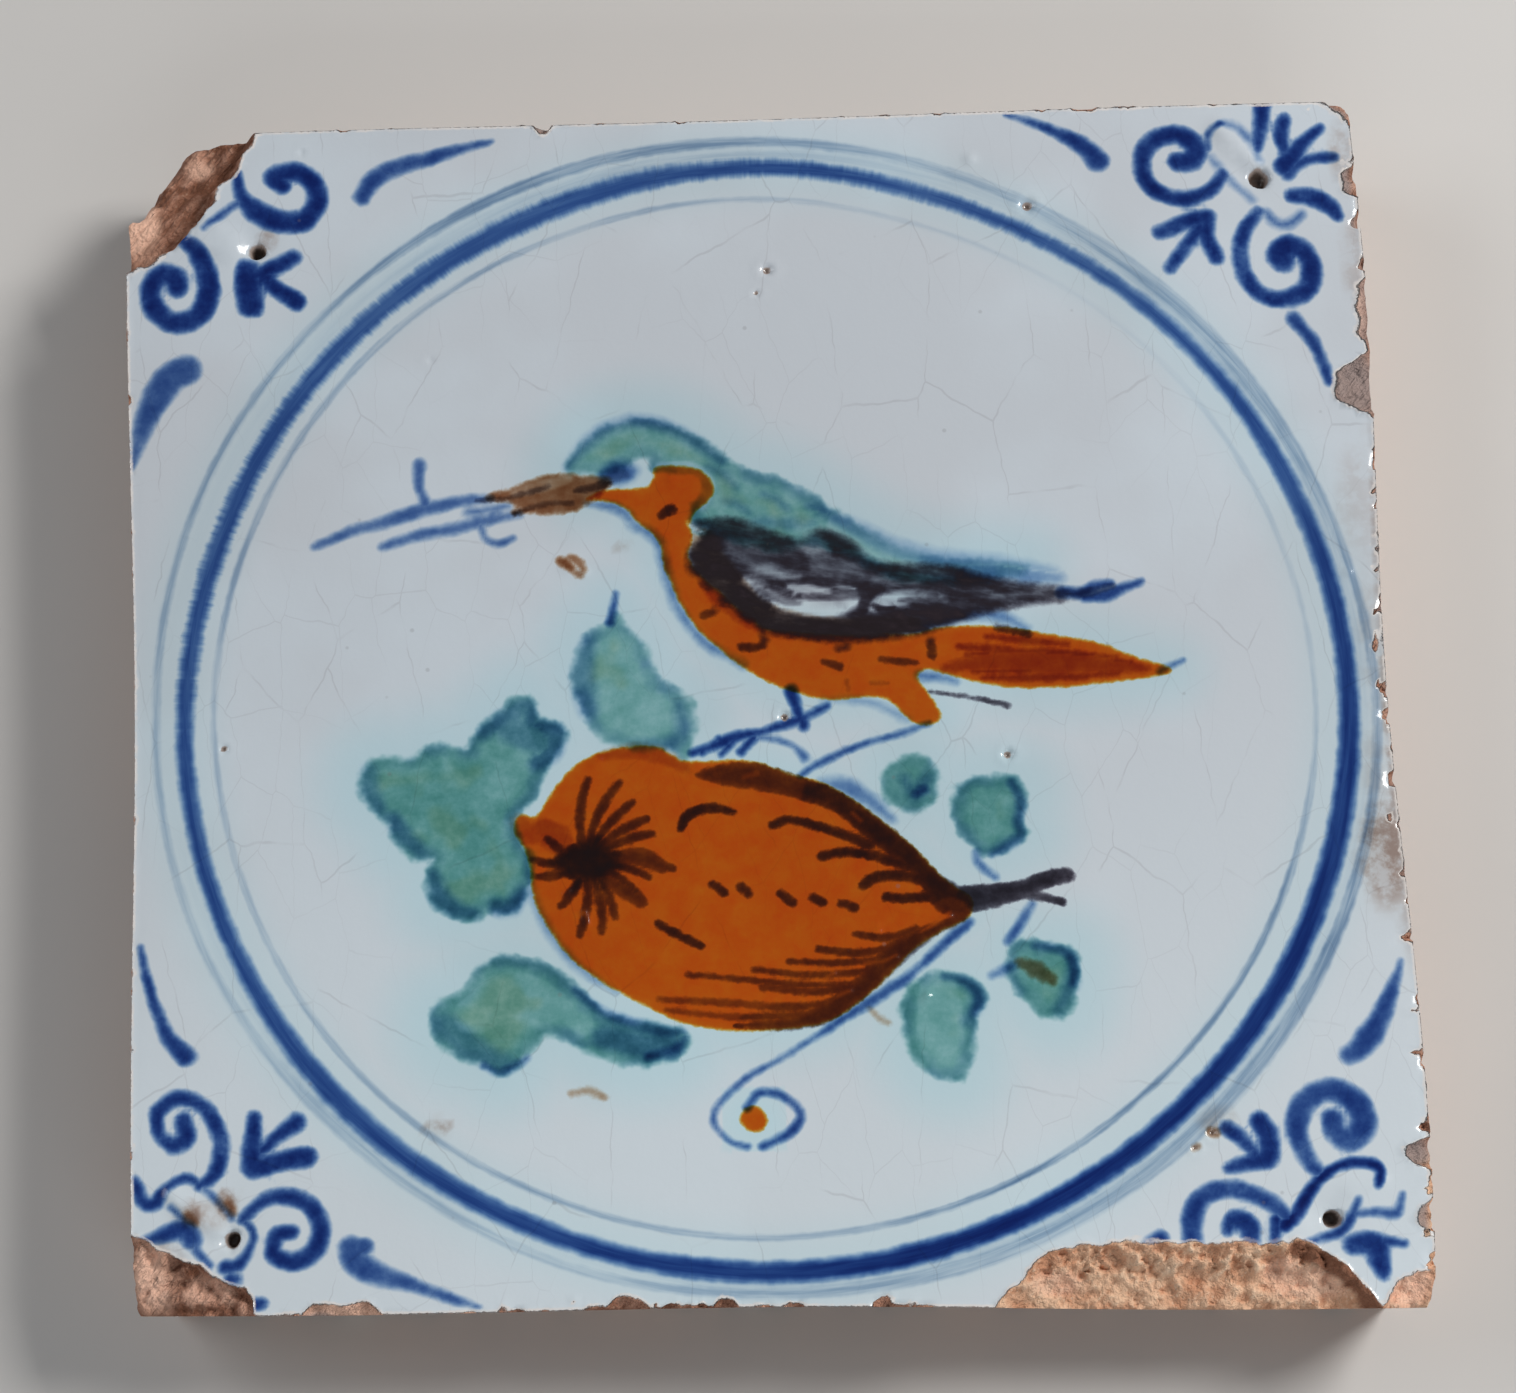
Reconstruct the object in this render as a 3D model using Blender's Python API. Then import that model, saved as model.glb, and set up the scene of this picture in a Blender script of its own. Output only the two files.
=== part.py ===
"""A hand-made glazed wall tile with a broken corner and chipped edges, lying on its back.

One fired clay body with a glazed face: metres, +Z up, glazed face up, +Y to the top of its
picture. The origin is under the middle of the tile, on the surface that it lies on.
"""

import math

import bmesh
import bpy
from mathutils import Vector, noise

# The tile: its face fits a square, its sides slope in to a smaller back.
TILE_WIDTH = 0.1316
TILE_HEIGHT = 0.1316
TILE_THICKNESS = 0.0140
EDGE_UNDERCUT = 0.0030
RIM_ROUNDING = 0.0007
RIM_SEGMENTS = 2

# How far each corner of the hand-cut face lies inside that square, across and up.
CORNER_INSETS = {
    "top_left": (0.0000, 0.0007),
    "top_right": (0.0006, 0.0000),
    "bottom_right": (0.0007, 0.0000),
    "bottom_left": (0.0015, 0.0030),
}

# Each edge runs between two corners, and swells and wavers a little, as cut with a knife.
EDGES = {
    "top": ("top_left", "top_right"),
    "right": ("top_right", "bottom_right"),
    "bottom": ("bottom_right", "bottom_left"),
    "left": ("bottom_left", "top_left"),
}
EDGE_SWELL = {"top": 0.0000, "right": 0.0001, "bottom": -0.0003, "left": -0.0004}
EDGE_WAVER = {"top": 0.0001, "right": 0.0005, "bottom": 0.0002, "left": 0.0002}
WAVES_ALONG_EDGE = 1.5

# The mesh: how long the pieces of an edge are, and how many rows a side has.
EDGE_STEP = 0.0066
SIDE_ROWS = 3

# The corners broken off. reach_a and reach_b run from the corner along the edge that ends there
# and the edge that starts there. step is the drop at the glaze, slope the fall beyond it, tip
# the distance from the break at which the surface falls away to the side, and lump the rise
# of the clay left standing, with its place along the break as a share and its distance out.
CORNER_BREAKS = {
    "top_left": {
        "reach_a": 0.0160, "reach_b": 0.0140, "step": 0.0018, "slope": 0.20,
        "tip": 0.0056, "lump": 0.0014, "lump_share": 0.22, "lump_out": 0.0042,
    },
    "bottom_left": {
        "reach_a": 0.0125, "reach_b": 0.0083, "step": 0.0008, "slope": 0.32,
        "tip": 0.0058, "lump": 0.0010, "lump_share": 0.74, "lump_out": 0.0036,
    },
    "bottom_right": {
        "reach_a": 0.0042, "reach_b": 0.0054, "step": 0.0005, "slope": 0.45,
        "tip": 0.0030, "lump": 0.0000, "lump_share": 0.50, "lump_out": 0.0010,
    },
    "top_right": {
        "reach_a": 0.0030, "reach_b": 0.0026, "step": 0.0004, "slope": 0.60,
        "tip": 0.0015, "lump": 0.0000, "lump_share": 0.50, "lump_out": 0.0010,
    },
}
LUMP_WIDTH = 0.0026
BREAK_STEEPNESS = 2.2
TIP_STEEPNESS = 3.0

# The chips along the edges. at is the place of the chip's middle, as a share of the way along
# its edge, length its opening along the edge, reach how far it bites into the face, and depth
# how deep it is at the edge. lead_in and lead_out are the runs over which it widens and narrows.
EDGE_CHIPS = {
    "long_bottom_chip": {
        "edge": "bottom", "at": 0.193, "length": 0.0393, "reach": 0.0068, "depth": 0.0032,
        "lead_in": 0.0080, "lead_out": 0.0100,
    },
    "bottom_nick_middle": {
        "edge": "bottom", "at": 0.545, "length": 0.0030, "reach": 0.0011, "depth": 0.0009,
        "lead_in": 0.0012, "lead_out": 0.0012,
    },
    "bottom_nick_left": {
        "edge": "bottom", "at": 0.620, "length": 0.0044, "reach": 0.0010, "depth": 0.0010,
        "lead_in": 0.0015, "lead_out": 0.0015,
    },
    "bottom_flake": {
        "edge": "bottom", "at": 0.838, "length": 0.0080, "reach": 0.0011, "depth": 0.0018,
        "lead_in": 0.0020, "lead_out": 0.0015,
    },
    "right_nick_top": {
        "edge": "right", "at": 0.072, "length": 0.0040, "reach": 0.0016, "depth": 0.0010,
        "lead_in": 0.0012, "lead_out": 0.0012,
    },
    "right_nick_upper": {
        "edge": "right", "at": 0.186, "length": 0.0068, "reach": 0.0011, "depth": 0.0008,
        "lead_in": 0.0020, "lead_out": 0.0020,
    },
    "right_flake": {
        "edge": "right", "at": 0.249, "length": 0.0066, "reach": 0.0043, "depth": 0.0010,
        "lead_in": 0.0040, "lead_out": 0.0018,
    },
    "right_nick_lower": {
        "edge": "right", "at": 0.880, "length": 0.0030, "reach": 0.0031, "depth": 0.0010,
        "lead_in": 0.0016, "lead_out": 0.0012,
    },
    "right_nick_bottom": {
        "edge": "right", "at": 0.927, "length": 0.0038, "reach": 0.0018, "depth": 0.0012,
        "lead_in": 0.0014, "lead_out": 0.0014,
    },
    "top_nick": {
        "edge": "top", "at": 0.340, "length": 0.0022, "reach": 0.0009, "depth": 0.0010,
        "lead_in": 0.0010, "lead_out": 0.0010,
    },
}

# Broken clay is lumpy: the size of its lumps, how far they stand up and down, and by how many
# such heights the line of a break wanders.
CLAY_LUMP_SIZE = 0.0028
CLAY_LUMP_HEIGHT = 0.0003
BREAK_LINE_WANDER = 2.0
BREAK_MESH_STEP = 0.0016
CHIP_MESH_STEP = 0.0011
SMALLEST_CHIP_ROWS = 2
FEWEST_CUTTER_CELLS = 3

# The share of a chip's depth that it reaches at once, and the share of its reach that this takes.
SCOOP_SHARE = 0.35
SCOOP_RUN_SHARE = 0.5

# The pits that the points of the cutting board left: distance in from the corner, and radius.
POINT_HOLES = {
    "top_left": (0.0142, 0.0135, 0.0007),
    "top_right": (0.0099, 0.0090, 0.0011),
    "bottom_right": (0.0097, 0.0093, 0.0009),
    "bottom_left": (0.0099, 0.0074, 0.0008),
}
POINT_HOLE_DEPTH = 0.0015
POINT_HOLE_TAPER = 0.5
POINT_HOLE_SIDES = 10

# How far a cutter runs past the clay that it cuts.
CUTTER_MARGIN = 0.0020

GLAZE_COLOR = (0.56, 0.61, 0.65, 1.0)
GLAZE_ROUGHNESS = 0.2


def clear_scene():
    for old in list(bpy.data.objects):
        bpy.data.objects.remove(old, do_unlink=True)


def collection(name):
    group = bpy.data.collections.new(name)
    bpy.context.scene.collection.children.link(group)
    return group


def corner(name):
    """The place of one corner of the face."""
    across, up = CORNER_INSETS[name]
    side = 1 if name.endswith("right") else -1
    level = 1 if name.startswith("top") else -1
    return Vector((side * (TILE_WIDTH / 2 - across), level * (TILE_HEIGHT / 2 - up)))


def outward(edge):
    """The direction across an edge, away from the tile."""
    first, last = EDGES[edge]
    along = (corner(last) - corner(first)).normalized()
    return Vector((-along.y, along.x))


def edge_point(edge, share):
    """A point of the face's edge, at a share of the way from its first corner."""
    first, last = EDGES[edge]
    line = corner(first).lerp(corner(last), share)
    swell = EDGE_SWELL[edge] * math.sin(math.pi * share)
    waver = EDGE_WAVER[edge] * math.sin(2 * math.pi * WAVES_ALONG_EDGE * share)
    return line + outward(edge) * (swell + waver)


def face_point(across, up):
    """The point of the face at these shares of its width and height, fitted to its four edges."""
    low = edge_point("bottom", 1 - across)
    high = edge_point("top", across)
    left = edge_point("left", up)
    right = edge_point("right", 1 - up)
    bottom_line = corner("bottom_left").lerp(corner("bottom_right"), across)
    top_line = corner("top_left").lerp(corner("top_right"), across)
    return low.lerp(high, up) + left.lerp(right, across) - bottom_line.lerp(top_line, up)


def tile_body(group):
    """The whole slab, from a cube: subdivided, fitted to the outline and narrowed to its back."""
    bpy.ops.mesh.primitive_cube_add(size=1, location=(0, 0, 0))
    body = bpy.context.object
    body.name = "glazed_tile"
    body.data.name = "glazed_tile"
    mesh = bmesh.new()
    mesh.from_mesh(body.data)
    columns = round(max(TILE_WIDTH, TILE_HEIGHT) / EDGE_STEP)
    flat_edges = [e for e in mesh.edges if abs(e.verts[0].co.z - e.verts[1].co.z) < 0.5]
    bmesh.ops.subdivide_edges(mesh, edges=flat_edges, cuts=columns - 1, use_grid_fill=True)
    upright = [e for e in mesh.edges if abs(e.verts[0].co.z - e.verts[1].co.z) > 0.5]
    bmesh.ops.subdivide_edges(mesh, edges=upright, cuts=SIDE_ROWS - 1, use_grid_fill=True)
    for vert in mesh.verts:
        place = face_point(vert.co.x + 0.5, vert.co.y + 0.5)
        level = vert.co.z + 0.5
        narrowing = 2 * EDGE_UNDERCUT * (1 - level)
        vert.co.x = place.x * (1 - narrowing / TILE_WIDTH)
        vert.co.y = place.y * (1 - narrowing / TILE_HEIGHT)
        vert.co.z = level * TILE_THICKNESS
    rim = [e for e in mesh.edges if is_rim(e)]
    bmesh.ops.bevel(
        mesh, geom=rim, offset=RIM_ROUNDING, segments=RIM_SEGMENTS, profile=0.5, affect="EDGES"
    )
    mesh.to_mesh(body.data)
    mesh.free()
    move_to(body, group)
    return body


def is_rim(edge):
    """Whether an edge lies between the flat face and a side."""
    levels = sorted(face.normal.z for face in edge.link_faces)
    at_top = all(abs(v.co.z - TILE_THICKNESS) < TILE_THICKNESS / 100 for v in edge.verts)
    return at_top and len(levels) == 2 and levels[0] < 0.5


def move_to(obj, group):
    for holder in list(obj.users_collection):
        holder.objects.unlink(obj)
    group.objects.link(obj)


def lumps(place, seed):
    """The unevenness of broken clay at a place of the face."""
    spot = Vector((place.x, place.y, seed * TILE_WIDTH)) / CLAY_LUMP_SIZE
    return CLAY_LUMP_HEIGHT * noise.noise(spot)


def rising(value):
    """Nought below nought, one above one, and a smooth rise between."""
    share = min(max(value, 0), 1)
    return share * share * (3 - 2 * share)


def rough_cutter(name, group, origin, along, out, length, reach, step, depth_at):
    """A block over broken clay: its underside is the surface that the break left behind."""
    columns = max(FEWEST_CUTTER_CELLS, round((length + 2 * CUTTER_MARGIN) / step))
    rows = max(FEWEST_CUTTER_CELLS, round((reach + 2 * CUTTER_MARGIN) / step))
    mesh = bmesh.new()
    bmesh.ops.create_grid(mesh, x_segments=columns, y_segments=rows, size=0.5)
    roof = bmesh.ops.extrude_face_region(mesh, geom=list(mesh.faces))["geom"]
    roof_verts = {item for item in roof if isinstance(item, bmesh.types.BMVert)}
    for vert in mesh.verts:
        run = (vert.co.x + 0.5) * (length + 2 * CUTTER_MARGIN) - CUTTER_MARGIN
        distance = (vert.co.y + 0.5) * (reach + 2 * CUTTER_MARGIN) - CUTTER_MARGIN
        place = origin + along * run + out * distance
        depth = -CUTTER_MARGIN if vert in roof_verts else depth_at(place, run, distance)
        vert.co = (place.x, place.y, TILE_THICKNESS - depth)
    bmesh.ops.recalc_face_normals(mesh, faces=mesh.faces)
    return add_cutter(name, group, mesh)


def add_cutter(name, group, mesh):
    data = bpy.data.meshes.new(name)
    mesh.to_mesh(data)
    mesh.free()
    cutter = bpy.data.objects.new(name, data)
    cutter.hide_render = True
    cutter.display_type = "WIRE"
    group.objects.link(cutter)
    return cutter


def corner_break(name, group, seed):
    """The cutter of a corner that broke off along a line from one of its edges to the other."""
    form = CORNER_BREAKS[name]
    before = next(edge for edge, ends in EDGES.items() if ends[1] == name)
    after = next(edge for edge, ends in EDGES.items() if ends[0] == name)
    back_along = (corner(EDGES[before][0]) - corner(name)).normalized()
    on_along = (corner(EDGES[after][1]) - corner(name)).normalized()
    start = corner(name) + back_along * form["reach_a"]
    end = corner(name) + on_along * form["reach_b"]
    along = (end - start).normalized()
    out = Vector((-along.y, along.x))
    length = (end - start).length
    reach = (corner(name) - start).dot(out)

    def depth_at(place, run, distance):
        past_break = distance + BREAK_LINE_WANDER * lumps(place, seed)
        if past_break < 0:
            return BREAK_STEEPNESS * past_break
        drop_run = form["step"] / BREAK_STEEPNESS
        drop = form["step"] * min(past_break / drop_run, 1)
        fall = form["slope"] * max(past_break - drop_run, 0)
        tip = TIP_STEEPNESS * max(past_break - form["tip"], 0)
        off_run = (run - form["lump_share"] * length) / LUMP_WIDTH
        off_out = (distance - form["lump_out"]) / LUMP_WIDTH
        lump = form["lump"] * math.exp(-off_run * off_run - off_out * off_out)
        depth = drop + fall + tip - lump + lumps(place, seed + 1) * rising(past_break / drop_run)
        return min(depth, TILE_THICKNESS + CUTTER_MARGIN)

    return rough_cutter(
        name + "_break", group, start, along, out, length, reach, BREAK_MESH_STEP, depth_at
    )


def edge_chip(name, group, seed):
    """The cutter of a shallow chip that opens onto one edge."""
    form = EDGE_CHIPS[name]
    first, last = EDGES[form["edge"]]
    along = (corner(last) - corner(first)).normalized()
    out = outward(form["edge"])
    middle = edge_point(form["edge"], form["at"])
    origin = middle - along * form["length"] / 2 - out * form["reach"]
    steepness = (1 - SCOOP_SHARE) * form["depth"] / form["reach"]

    def depth_at(place, run, distance):
        lead_in = rising(run / form["lead_in"])
        lead_out = rising((form["length"] - run) / form["lead_out"])
        bite = form["reach"] * math.sqrt(min(lead_in, lead_out))
        wander = BREAK_LINE_WANDER * lumps(place, seed)
        past_break = bite - (form["reach"] - distance) + wander
        if past_break < 0:
            return max(BREAK_STEEPNESS * past_break, -CUTTER_MARGIN / 2)
        scoop = SCOOP_SHARE * form["depth"] * rising(past_break / (form["reach"] * SCOOP_RUN_SHARE))
        return scoop + steepness * past_break + abs(lumps(place, seed + 1))

    step = min(CHIP_MESH_STEP, form["reach"] / SMALLEST_CHIP_ROWS)
    return rough_cutter(
        name, group, origin, along, out, form["length"], form["reach"], step, depth_at
    )


def point_hole(name, group):
    """The cutter of one blind, tapered pit near a corner."""
    across, up, radius = POINT_HOLES[name]
    at = corner(name)
    inward = Vector((math.copysign(across, -at.x), math.copysign(up, -at.y)))
    place = at + inward
    mesh = bmesh.new()
    height = POINT_HOLE_DEPTH + CUTTER_MARGIN
    spread = radius * (1 - POINT_HOLE_TAPER) * CUTTER_MARGIN / POINT_HOLE_DEPTH
    bmesh.ops.create_cone(
        mesh, cap_ends=True, segments=POINT_HOLE_SIDES, radius1=radius * POINT_HOLE_TAPER,
        radius2=radius + spread, depth=height,
    )
    middle = TILE_THICKNESS - POINT_HOLE_DEPTH + height / 2
    bmesh.ops.translate(mesh, verts=mesh.verts, vec=(place.x, place.y, middle))
    return add_cutter(name + "_point_hole", group, mesh)


def cut(body, cutter):
    modifier = body.modifiers.new(cutter.name, "BOOLEAN")
    modifier.operation = "DIFFERENCE"
    modifier.solver = "EXACT"
    modifier.object = cutter


def glaze():
    """The tile's own finish: a bluish white glaze."""
    material = bpy.data.materials.new("tin_glaze")
    material.use_nodes = True
    shader = material.node_tree.nodes["Principled BSDF"]
    shader.inputs["Base Color"].default_value = GLAZE_COLOR
    shader.inputs["Roughness"].default_value = GLAZE_ROUGHNESS
    shader.inputs["Metallic"].default_value = 0.0
    material.diffuse_color = GLAZE_COLOR
    return material


def build():
    clear_scene()
    tile = collection("glazed_ceramic_tile")
    cutters = collection("cutters")
    body = tile_body(tile)
    body.data.materials.append(glaze())
    for seed, name in enumerate(CORNER_BREAKS):
        cut(body, corner_break(name, cutters, 2 * seed + 1))
    for seed, name in enumerate(EDGE_CHIPS):
        cut(body, edge_chip(name, cutters, 2 * (seed + len(CORNER_BREAKS)) + 1))
    for name in POINT_HOLES:
        cut(body, point_hole(name, cutters))


build()
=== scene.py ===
import math

import bpy
import numpy as np
from mathutils import Matrix, Vector, noise


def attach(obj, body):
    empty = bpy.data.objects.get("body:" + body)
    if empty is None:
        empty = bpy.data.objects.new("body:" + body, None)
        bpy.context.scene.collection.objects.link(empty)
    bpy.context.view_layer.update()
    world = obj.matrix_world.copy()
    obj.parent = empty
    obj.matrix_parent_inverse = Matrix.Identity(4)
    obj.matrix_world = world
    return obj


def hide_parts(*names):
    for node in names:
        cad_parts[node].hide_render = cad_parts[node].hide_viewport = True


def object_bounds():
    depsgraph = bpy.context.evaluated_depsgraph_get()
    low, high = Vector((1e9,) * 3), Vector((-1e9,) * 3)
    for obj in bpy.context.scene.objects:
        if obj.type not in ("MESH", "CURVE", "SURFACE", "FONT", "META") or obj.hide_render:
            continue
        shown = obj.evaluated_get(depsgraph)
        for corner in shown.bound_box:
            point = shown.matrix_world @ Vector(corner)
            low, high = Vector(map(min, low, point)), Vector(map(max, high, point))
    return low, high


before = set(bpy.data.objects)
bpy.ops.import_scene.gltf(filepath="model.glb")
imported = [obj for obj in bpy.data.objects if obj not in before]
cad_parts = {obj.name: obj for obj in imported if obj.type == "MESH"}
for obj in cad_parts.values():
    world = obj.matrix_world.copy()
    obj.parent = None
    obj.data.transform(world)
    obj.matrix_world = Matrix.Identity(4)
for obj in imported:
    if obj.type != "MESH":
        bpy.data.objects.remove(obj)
CAD_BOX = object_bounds()

# A hand-made glazed wall tile, lying face up. Places and sizes on it are in mm, from the middle
# of its face, x to the picture's right and y to its top; z is measured up from its back.
MM = 0.001
WIDTH = 131.6
HEIGHT = 131.6
THICKNESS = 14.0
UNDERCUT = 3.0
RIM_RADIUS = 0.7
BROKEN_RIM_RADIUS = 0.15
GLAZE_SINK = 0.42

# The photograph's camera: where it stands, its axes, and its lens.
CAMERA_PLACE = (-0.0109, -0.1678, 0.5106)
CAMERA_RIGHT = (0.9994, -0.0322, 0.0105)
CAMERA_UP = (0.0272, 0.9469, 0.3204)
CAMERA_BACK = (-0.0203, -0.3200, 0.9472)
IMAGE_WIDTH = 1516
FOCAL_PIXELS = 5100
SENSOR_WIDTH = 36.0

# How far each corner of the hand-cut face lies inside its square, across and up.
CORNER_INSETS = {
    "top_left": (0.0, 0.7),
    "top_right": (0.6, 0.0),
    "bottom_right": (0.7, 0.0),
    "bottom_left": (1.5, 3.0),
}
EDGES = {
    "top": ("top_left", "top_right"),
    "right": ("top_right", "bottom_right"),
    "bottom": ("bottom_right", "bottom_left"),
    "left": ("bottom_left", "top_left"),
}
EDGE_SWELL = {"top": 0.0, "right": 0.1, "bottom": -0.3, "left": -0.4}
EDGE_WAVER = {"top": 0.1, "right": 0.5, "bottom": 0.2, "left": 0.2}
WAVES_ALONG_EDGE = 1.5

# The corners broken off: reaches along the two edges, the drop at the glaze, the fall beyond it,
# the distance at which the surface falls away, and the lump of clay left standing.
CORNER_BREAKS = {
    "top_left": dict(reach=(16.0, 14.0), step=1.8, slope=0.20, tip=5.6, lump=(1.4, 0.22, 4.2)),
    "bottom_left": dict(reach=(12.5, 8.3), step=0.8, slope=0.32, tip=5.8, lump=(1.0, 0.74, 3.6)),
    "bottom_right": dict(reach=(4.2, 5.4), step=0.5, slope=0.45, tip=3.0, lump=(0.0, 0.50, 1.0)),
    "top_right": dict(reach=(3.0, 2.6), step=0.4, slope=0.60, tip=1.5, lump=(0.0, 0.50, 1.0)),
}
# How far each break line bows in from straight, at shares of its length from its start.
BREAK_BOWS = {
    "top_left": ((0.0, 0.09, 0.16, 0.27, 0.53, 0.71, 0.83, 1.0), (0.0, 1.1, 1.7, 2.2, 1.8, 1.0, 0.8, 0.0)),
    "bottom_left": ((0.0, 0.08, 0.18, 0.31, 0.45, 0.6, 0.85, 1.0), (0.0, 1.2, 1.6, 1.0, 0.9, 0.6, 0.2, 0.0)),
    "bottom_right": ((0.0, 0.25, 0.6, 1.0), (0.0, 0.9, 1.5, 0.2)),
}
LUMP_WIDTH = 2.6
BREAK_STEEPNESS = 2.2
TIP_STEEPNESS = 3.0

# The chips along the edges: edge, place of the middle as a share of it, length, reach, depth,
# and the runs over which each widens and narrows.
EDGE_CHIPS = (
    ("bottom", 0.193, 39.3, 6.8, 3.2, 8.0, 10.0),
    ("bottom", 0.545, 3.0, 1.1, 0.9, 1.2, 1.2),
    ("bottom", 0.620, 4.4, 1.0, 1.0, 1.5, 1.5),
    ("bottom", 0.838, 8.0, 1.1, 1.1, 2.0, 1.5),
    ("right", 0.072, 4.0, 1.6, 1.0, 1.2, 1.2),
    ("right", 0.186, 8.6, 1.3, 0.8, 2.0, 2.0),
    ("right", 0.249, 7.2, 4.0, 1.0, 3.0, 2.6),
    ("right", 0.880, 3.4, 2.6, 0.9, 1.2, 1.8),
    ("right", 0.927, 3.8, 1.4, 1.0, 1.4, 1.0),
    ("top", 0.340, 2.2, 0.9, 1.0, 1.0, 1.0),
)
CLAY_LUMP_SIZE = 2.8
CLAY_LUMP_HEIGHT = 0.3
BREAK_LINE_WANDER = 2.0
LAMINA_HEIGHT = 0.75
LAMINA_LENGTH = 6.0
LAMINA_WIDTH = 1.5
CREST_HEIGHT = 0.95
SCOOP_SHARE = 0.35
SCOOP_RUN_SHARE = 0.5
BREAK_MARGIN = 2.0
SETTLING_STEPS = 9

# What stands for a place far outside any stroke or break.
FAR = -9.0

# Unevenness, as layers of noise: the height, size and seed of each.
LINE_WANDER = ((0.34, 1.7, 3), (0.18, 0.7, 5))
GLAZE_WAVES = ((0.055, 26, 1), (0.022, 8, 2))
PIT_UNEVENNESS = ((0.30, 1.2, 7),)
RIM_BITES = ((1.0, 2.4, 41), (0.5, 1.0, 43))

# The pits that the cutter's nails left: place, radius and depth, and the dimple round each.
POINT_HOLES = (
    ((-51.8, 51.6), 0.92, 1.5),
    ((55.2, 57.2), 1.10, 1.5),
    ((55.4, -56.5), 0.95, 1.5),
    ((-54.4, -55.4), 0.85, 1.5),
)
DIMPLE_WIDTH = 2.6
DIMPLE_DEPTH = 0.44

# Pinholes and pimples of the glaze: place, radius, and height above it or depth below it.
PINHOLES = (
    ((30.2, 54.5), 0.75, -0.50), ((24.3, 60.0), 0.90, 0.22), ((2.2, 47.8), 0.60, -0.45),
    ((1.0, 45.2), 0.35, -0.25), ((2.4, -2.2), 0.55, -0.45), ((25.2, -6.9), 0.55, -0.45),
    ((43.8, -47.3), 0.50, -0.40), ((42.0, -48.8), 0.38, -0.30), ((-55.2, -4.0), 0.45, -0.25),
    ((-33.5, 38.4), 0.40, -0.12), ((-19.4, 15.0), 1.20, 0.20), ((-17.9, 14.2), 0.60, 0.18),
    ((61.5, 12.0), 0.70, 0.18), ((15.8, -32.3), 0.40, 0.16), ((-47.0, 62.8), 0.35, -0.15),
)

# Low ridges in the glaze: end, end, width and height.
RIDGES = (
    ((51.2, 62.6), (54.6, 58.6), 2.2, 0.46),
    ((-60.2, -50.6), (-55.8, -54.4), 2.0, 0.46),
    ((57.2, -53.6), (60.4, -52.6), 1.4, 0.18),
    ((-57.0, 53.4), (-54.6, 52.0), 3.0, 0.85),
    ((63.2, -15.0), (63.6, -6.0), 1.8, 0.12),
    ((15.0, -26.2), (18.4, -24.0), 0.7, 0.20), ((10.0, -28.4), (12.8, -28.2), 0.6, 0.18),
    ((6.6, -32.0), (8.0, -31.6), 0.6, 0.18), ((5.6, -30.0), (6.4, -29.7), 0.6, 0.18),
    ((10.6, -25.6), (11.2, -25.4), 0.6, 0.18), ((4.0, -25.3), (4.6, -25.2), 0.6, 0.18),
    ((-18.7, -22.4), (-18.4, -23.8), 0.7, 0.19), ((-20.6, -20.6), (-20.2, -20.2), 0.6, 0.18),
    ((-7.4, -7.6), (-6.6, -7.4), 0.7, 0.19), ((-17.4, -6.4), (-16.8, -6.2), 0.7, 0.18),
    ((11.2, 9.2), (13.0, 9.8), 0.6, 0.19), ((0.8, 11.0), (2.0, 9.6), 0.7, 0.19),
    ((-8.6, 24.4), (-8.2, 24.0), 0.8, 0.17), ((21.8, -22.4), (25.0, -22.0), 0.6, 0.18),
    ((15.8, -12.4), (16.4, -12.2), 0.7, 0.18), ((-26.4, -34.8), (-25.6, -34.6), 0.7, 0.18),
    ((15.4, -32.6), (15.9, -32.3), 0.7, 0.19), ((-10.4, 0.2), (-10.0, -0.4), 0.7, 0.18),
)


def noise_at(places, size, seed=0.0):
    """Smooth noise from about -1 to 1 at each place, with lumps of that size."""
    spots = places / size
    spots[:, 2] += seed
    return np.array([noise.noise(spot) for spot in spots.tolist()])


def grain_at(places, size, seed=0.0):
    """Noise with two finer layers on it."""
    coarse = noise_at(places, size, seed)
    middle = noise_at(places, size / 2.1, seed + 7)
    fine = noise_at(places, size / 4.3, seed + 13)
    return coarse + 0.5 * middle + 0.25 * fine


def layered(spots, layers):
    """Noise of several sizes added up, each layer given as (height, size, seed)."""
    return sum(height * noise_at(spots, size, seed) for height, size, seed in layers)


def rising(value):
    """Nought below nought, one above one, and a smooth rise between."""
    share = np.clip(value, 0, 1)
    return share * share * (3 - 2 * share)


def corner(name):
    """The place of one corner of the face."""
    across, up = CORNER_INSETS[name]
    side = 1 if name.endswith("right") else -1
    level = 1 if name.startswith("top") else -1
    return np.array((side * (WIDTH / 2 - across), level * (HEIGHT / 2 - up)))


def outward(edge):
    """The direction across an edge, away from the tile."""
    first, last = EDGES[edge]
    along = corner(last) - corner(first)
    along /= np.linalg.norm(along)
    return np.array((-along[1], along[0]))


def between(first, last, share):
    """Places at each share of the way from one place to another."""
    return first + (last - first) * share[:, None]


def edge_point(edge, share):
    """Points of the face's edge, at each share of the way from its first corner."""
    first, last = EDGES[edge]
    swell = EDGE_SWELL[edge] * np.sin(math.pi * share)
    waver = EDGE_WAVER[edge] * np.sin(2 * math.pi * WAVES_ALONG_EDGE * share)
    return between(corner(first), corner(last), share) + outward(edge) * (swell + waver)[:, None]


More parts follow.
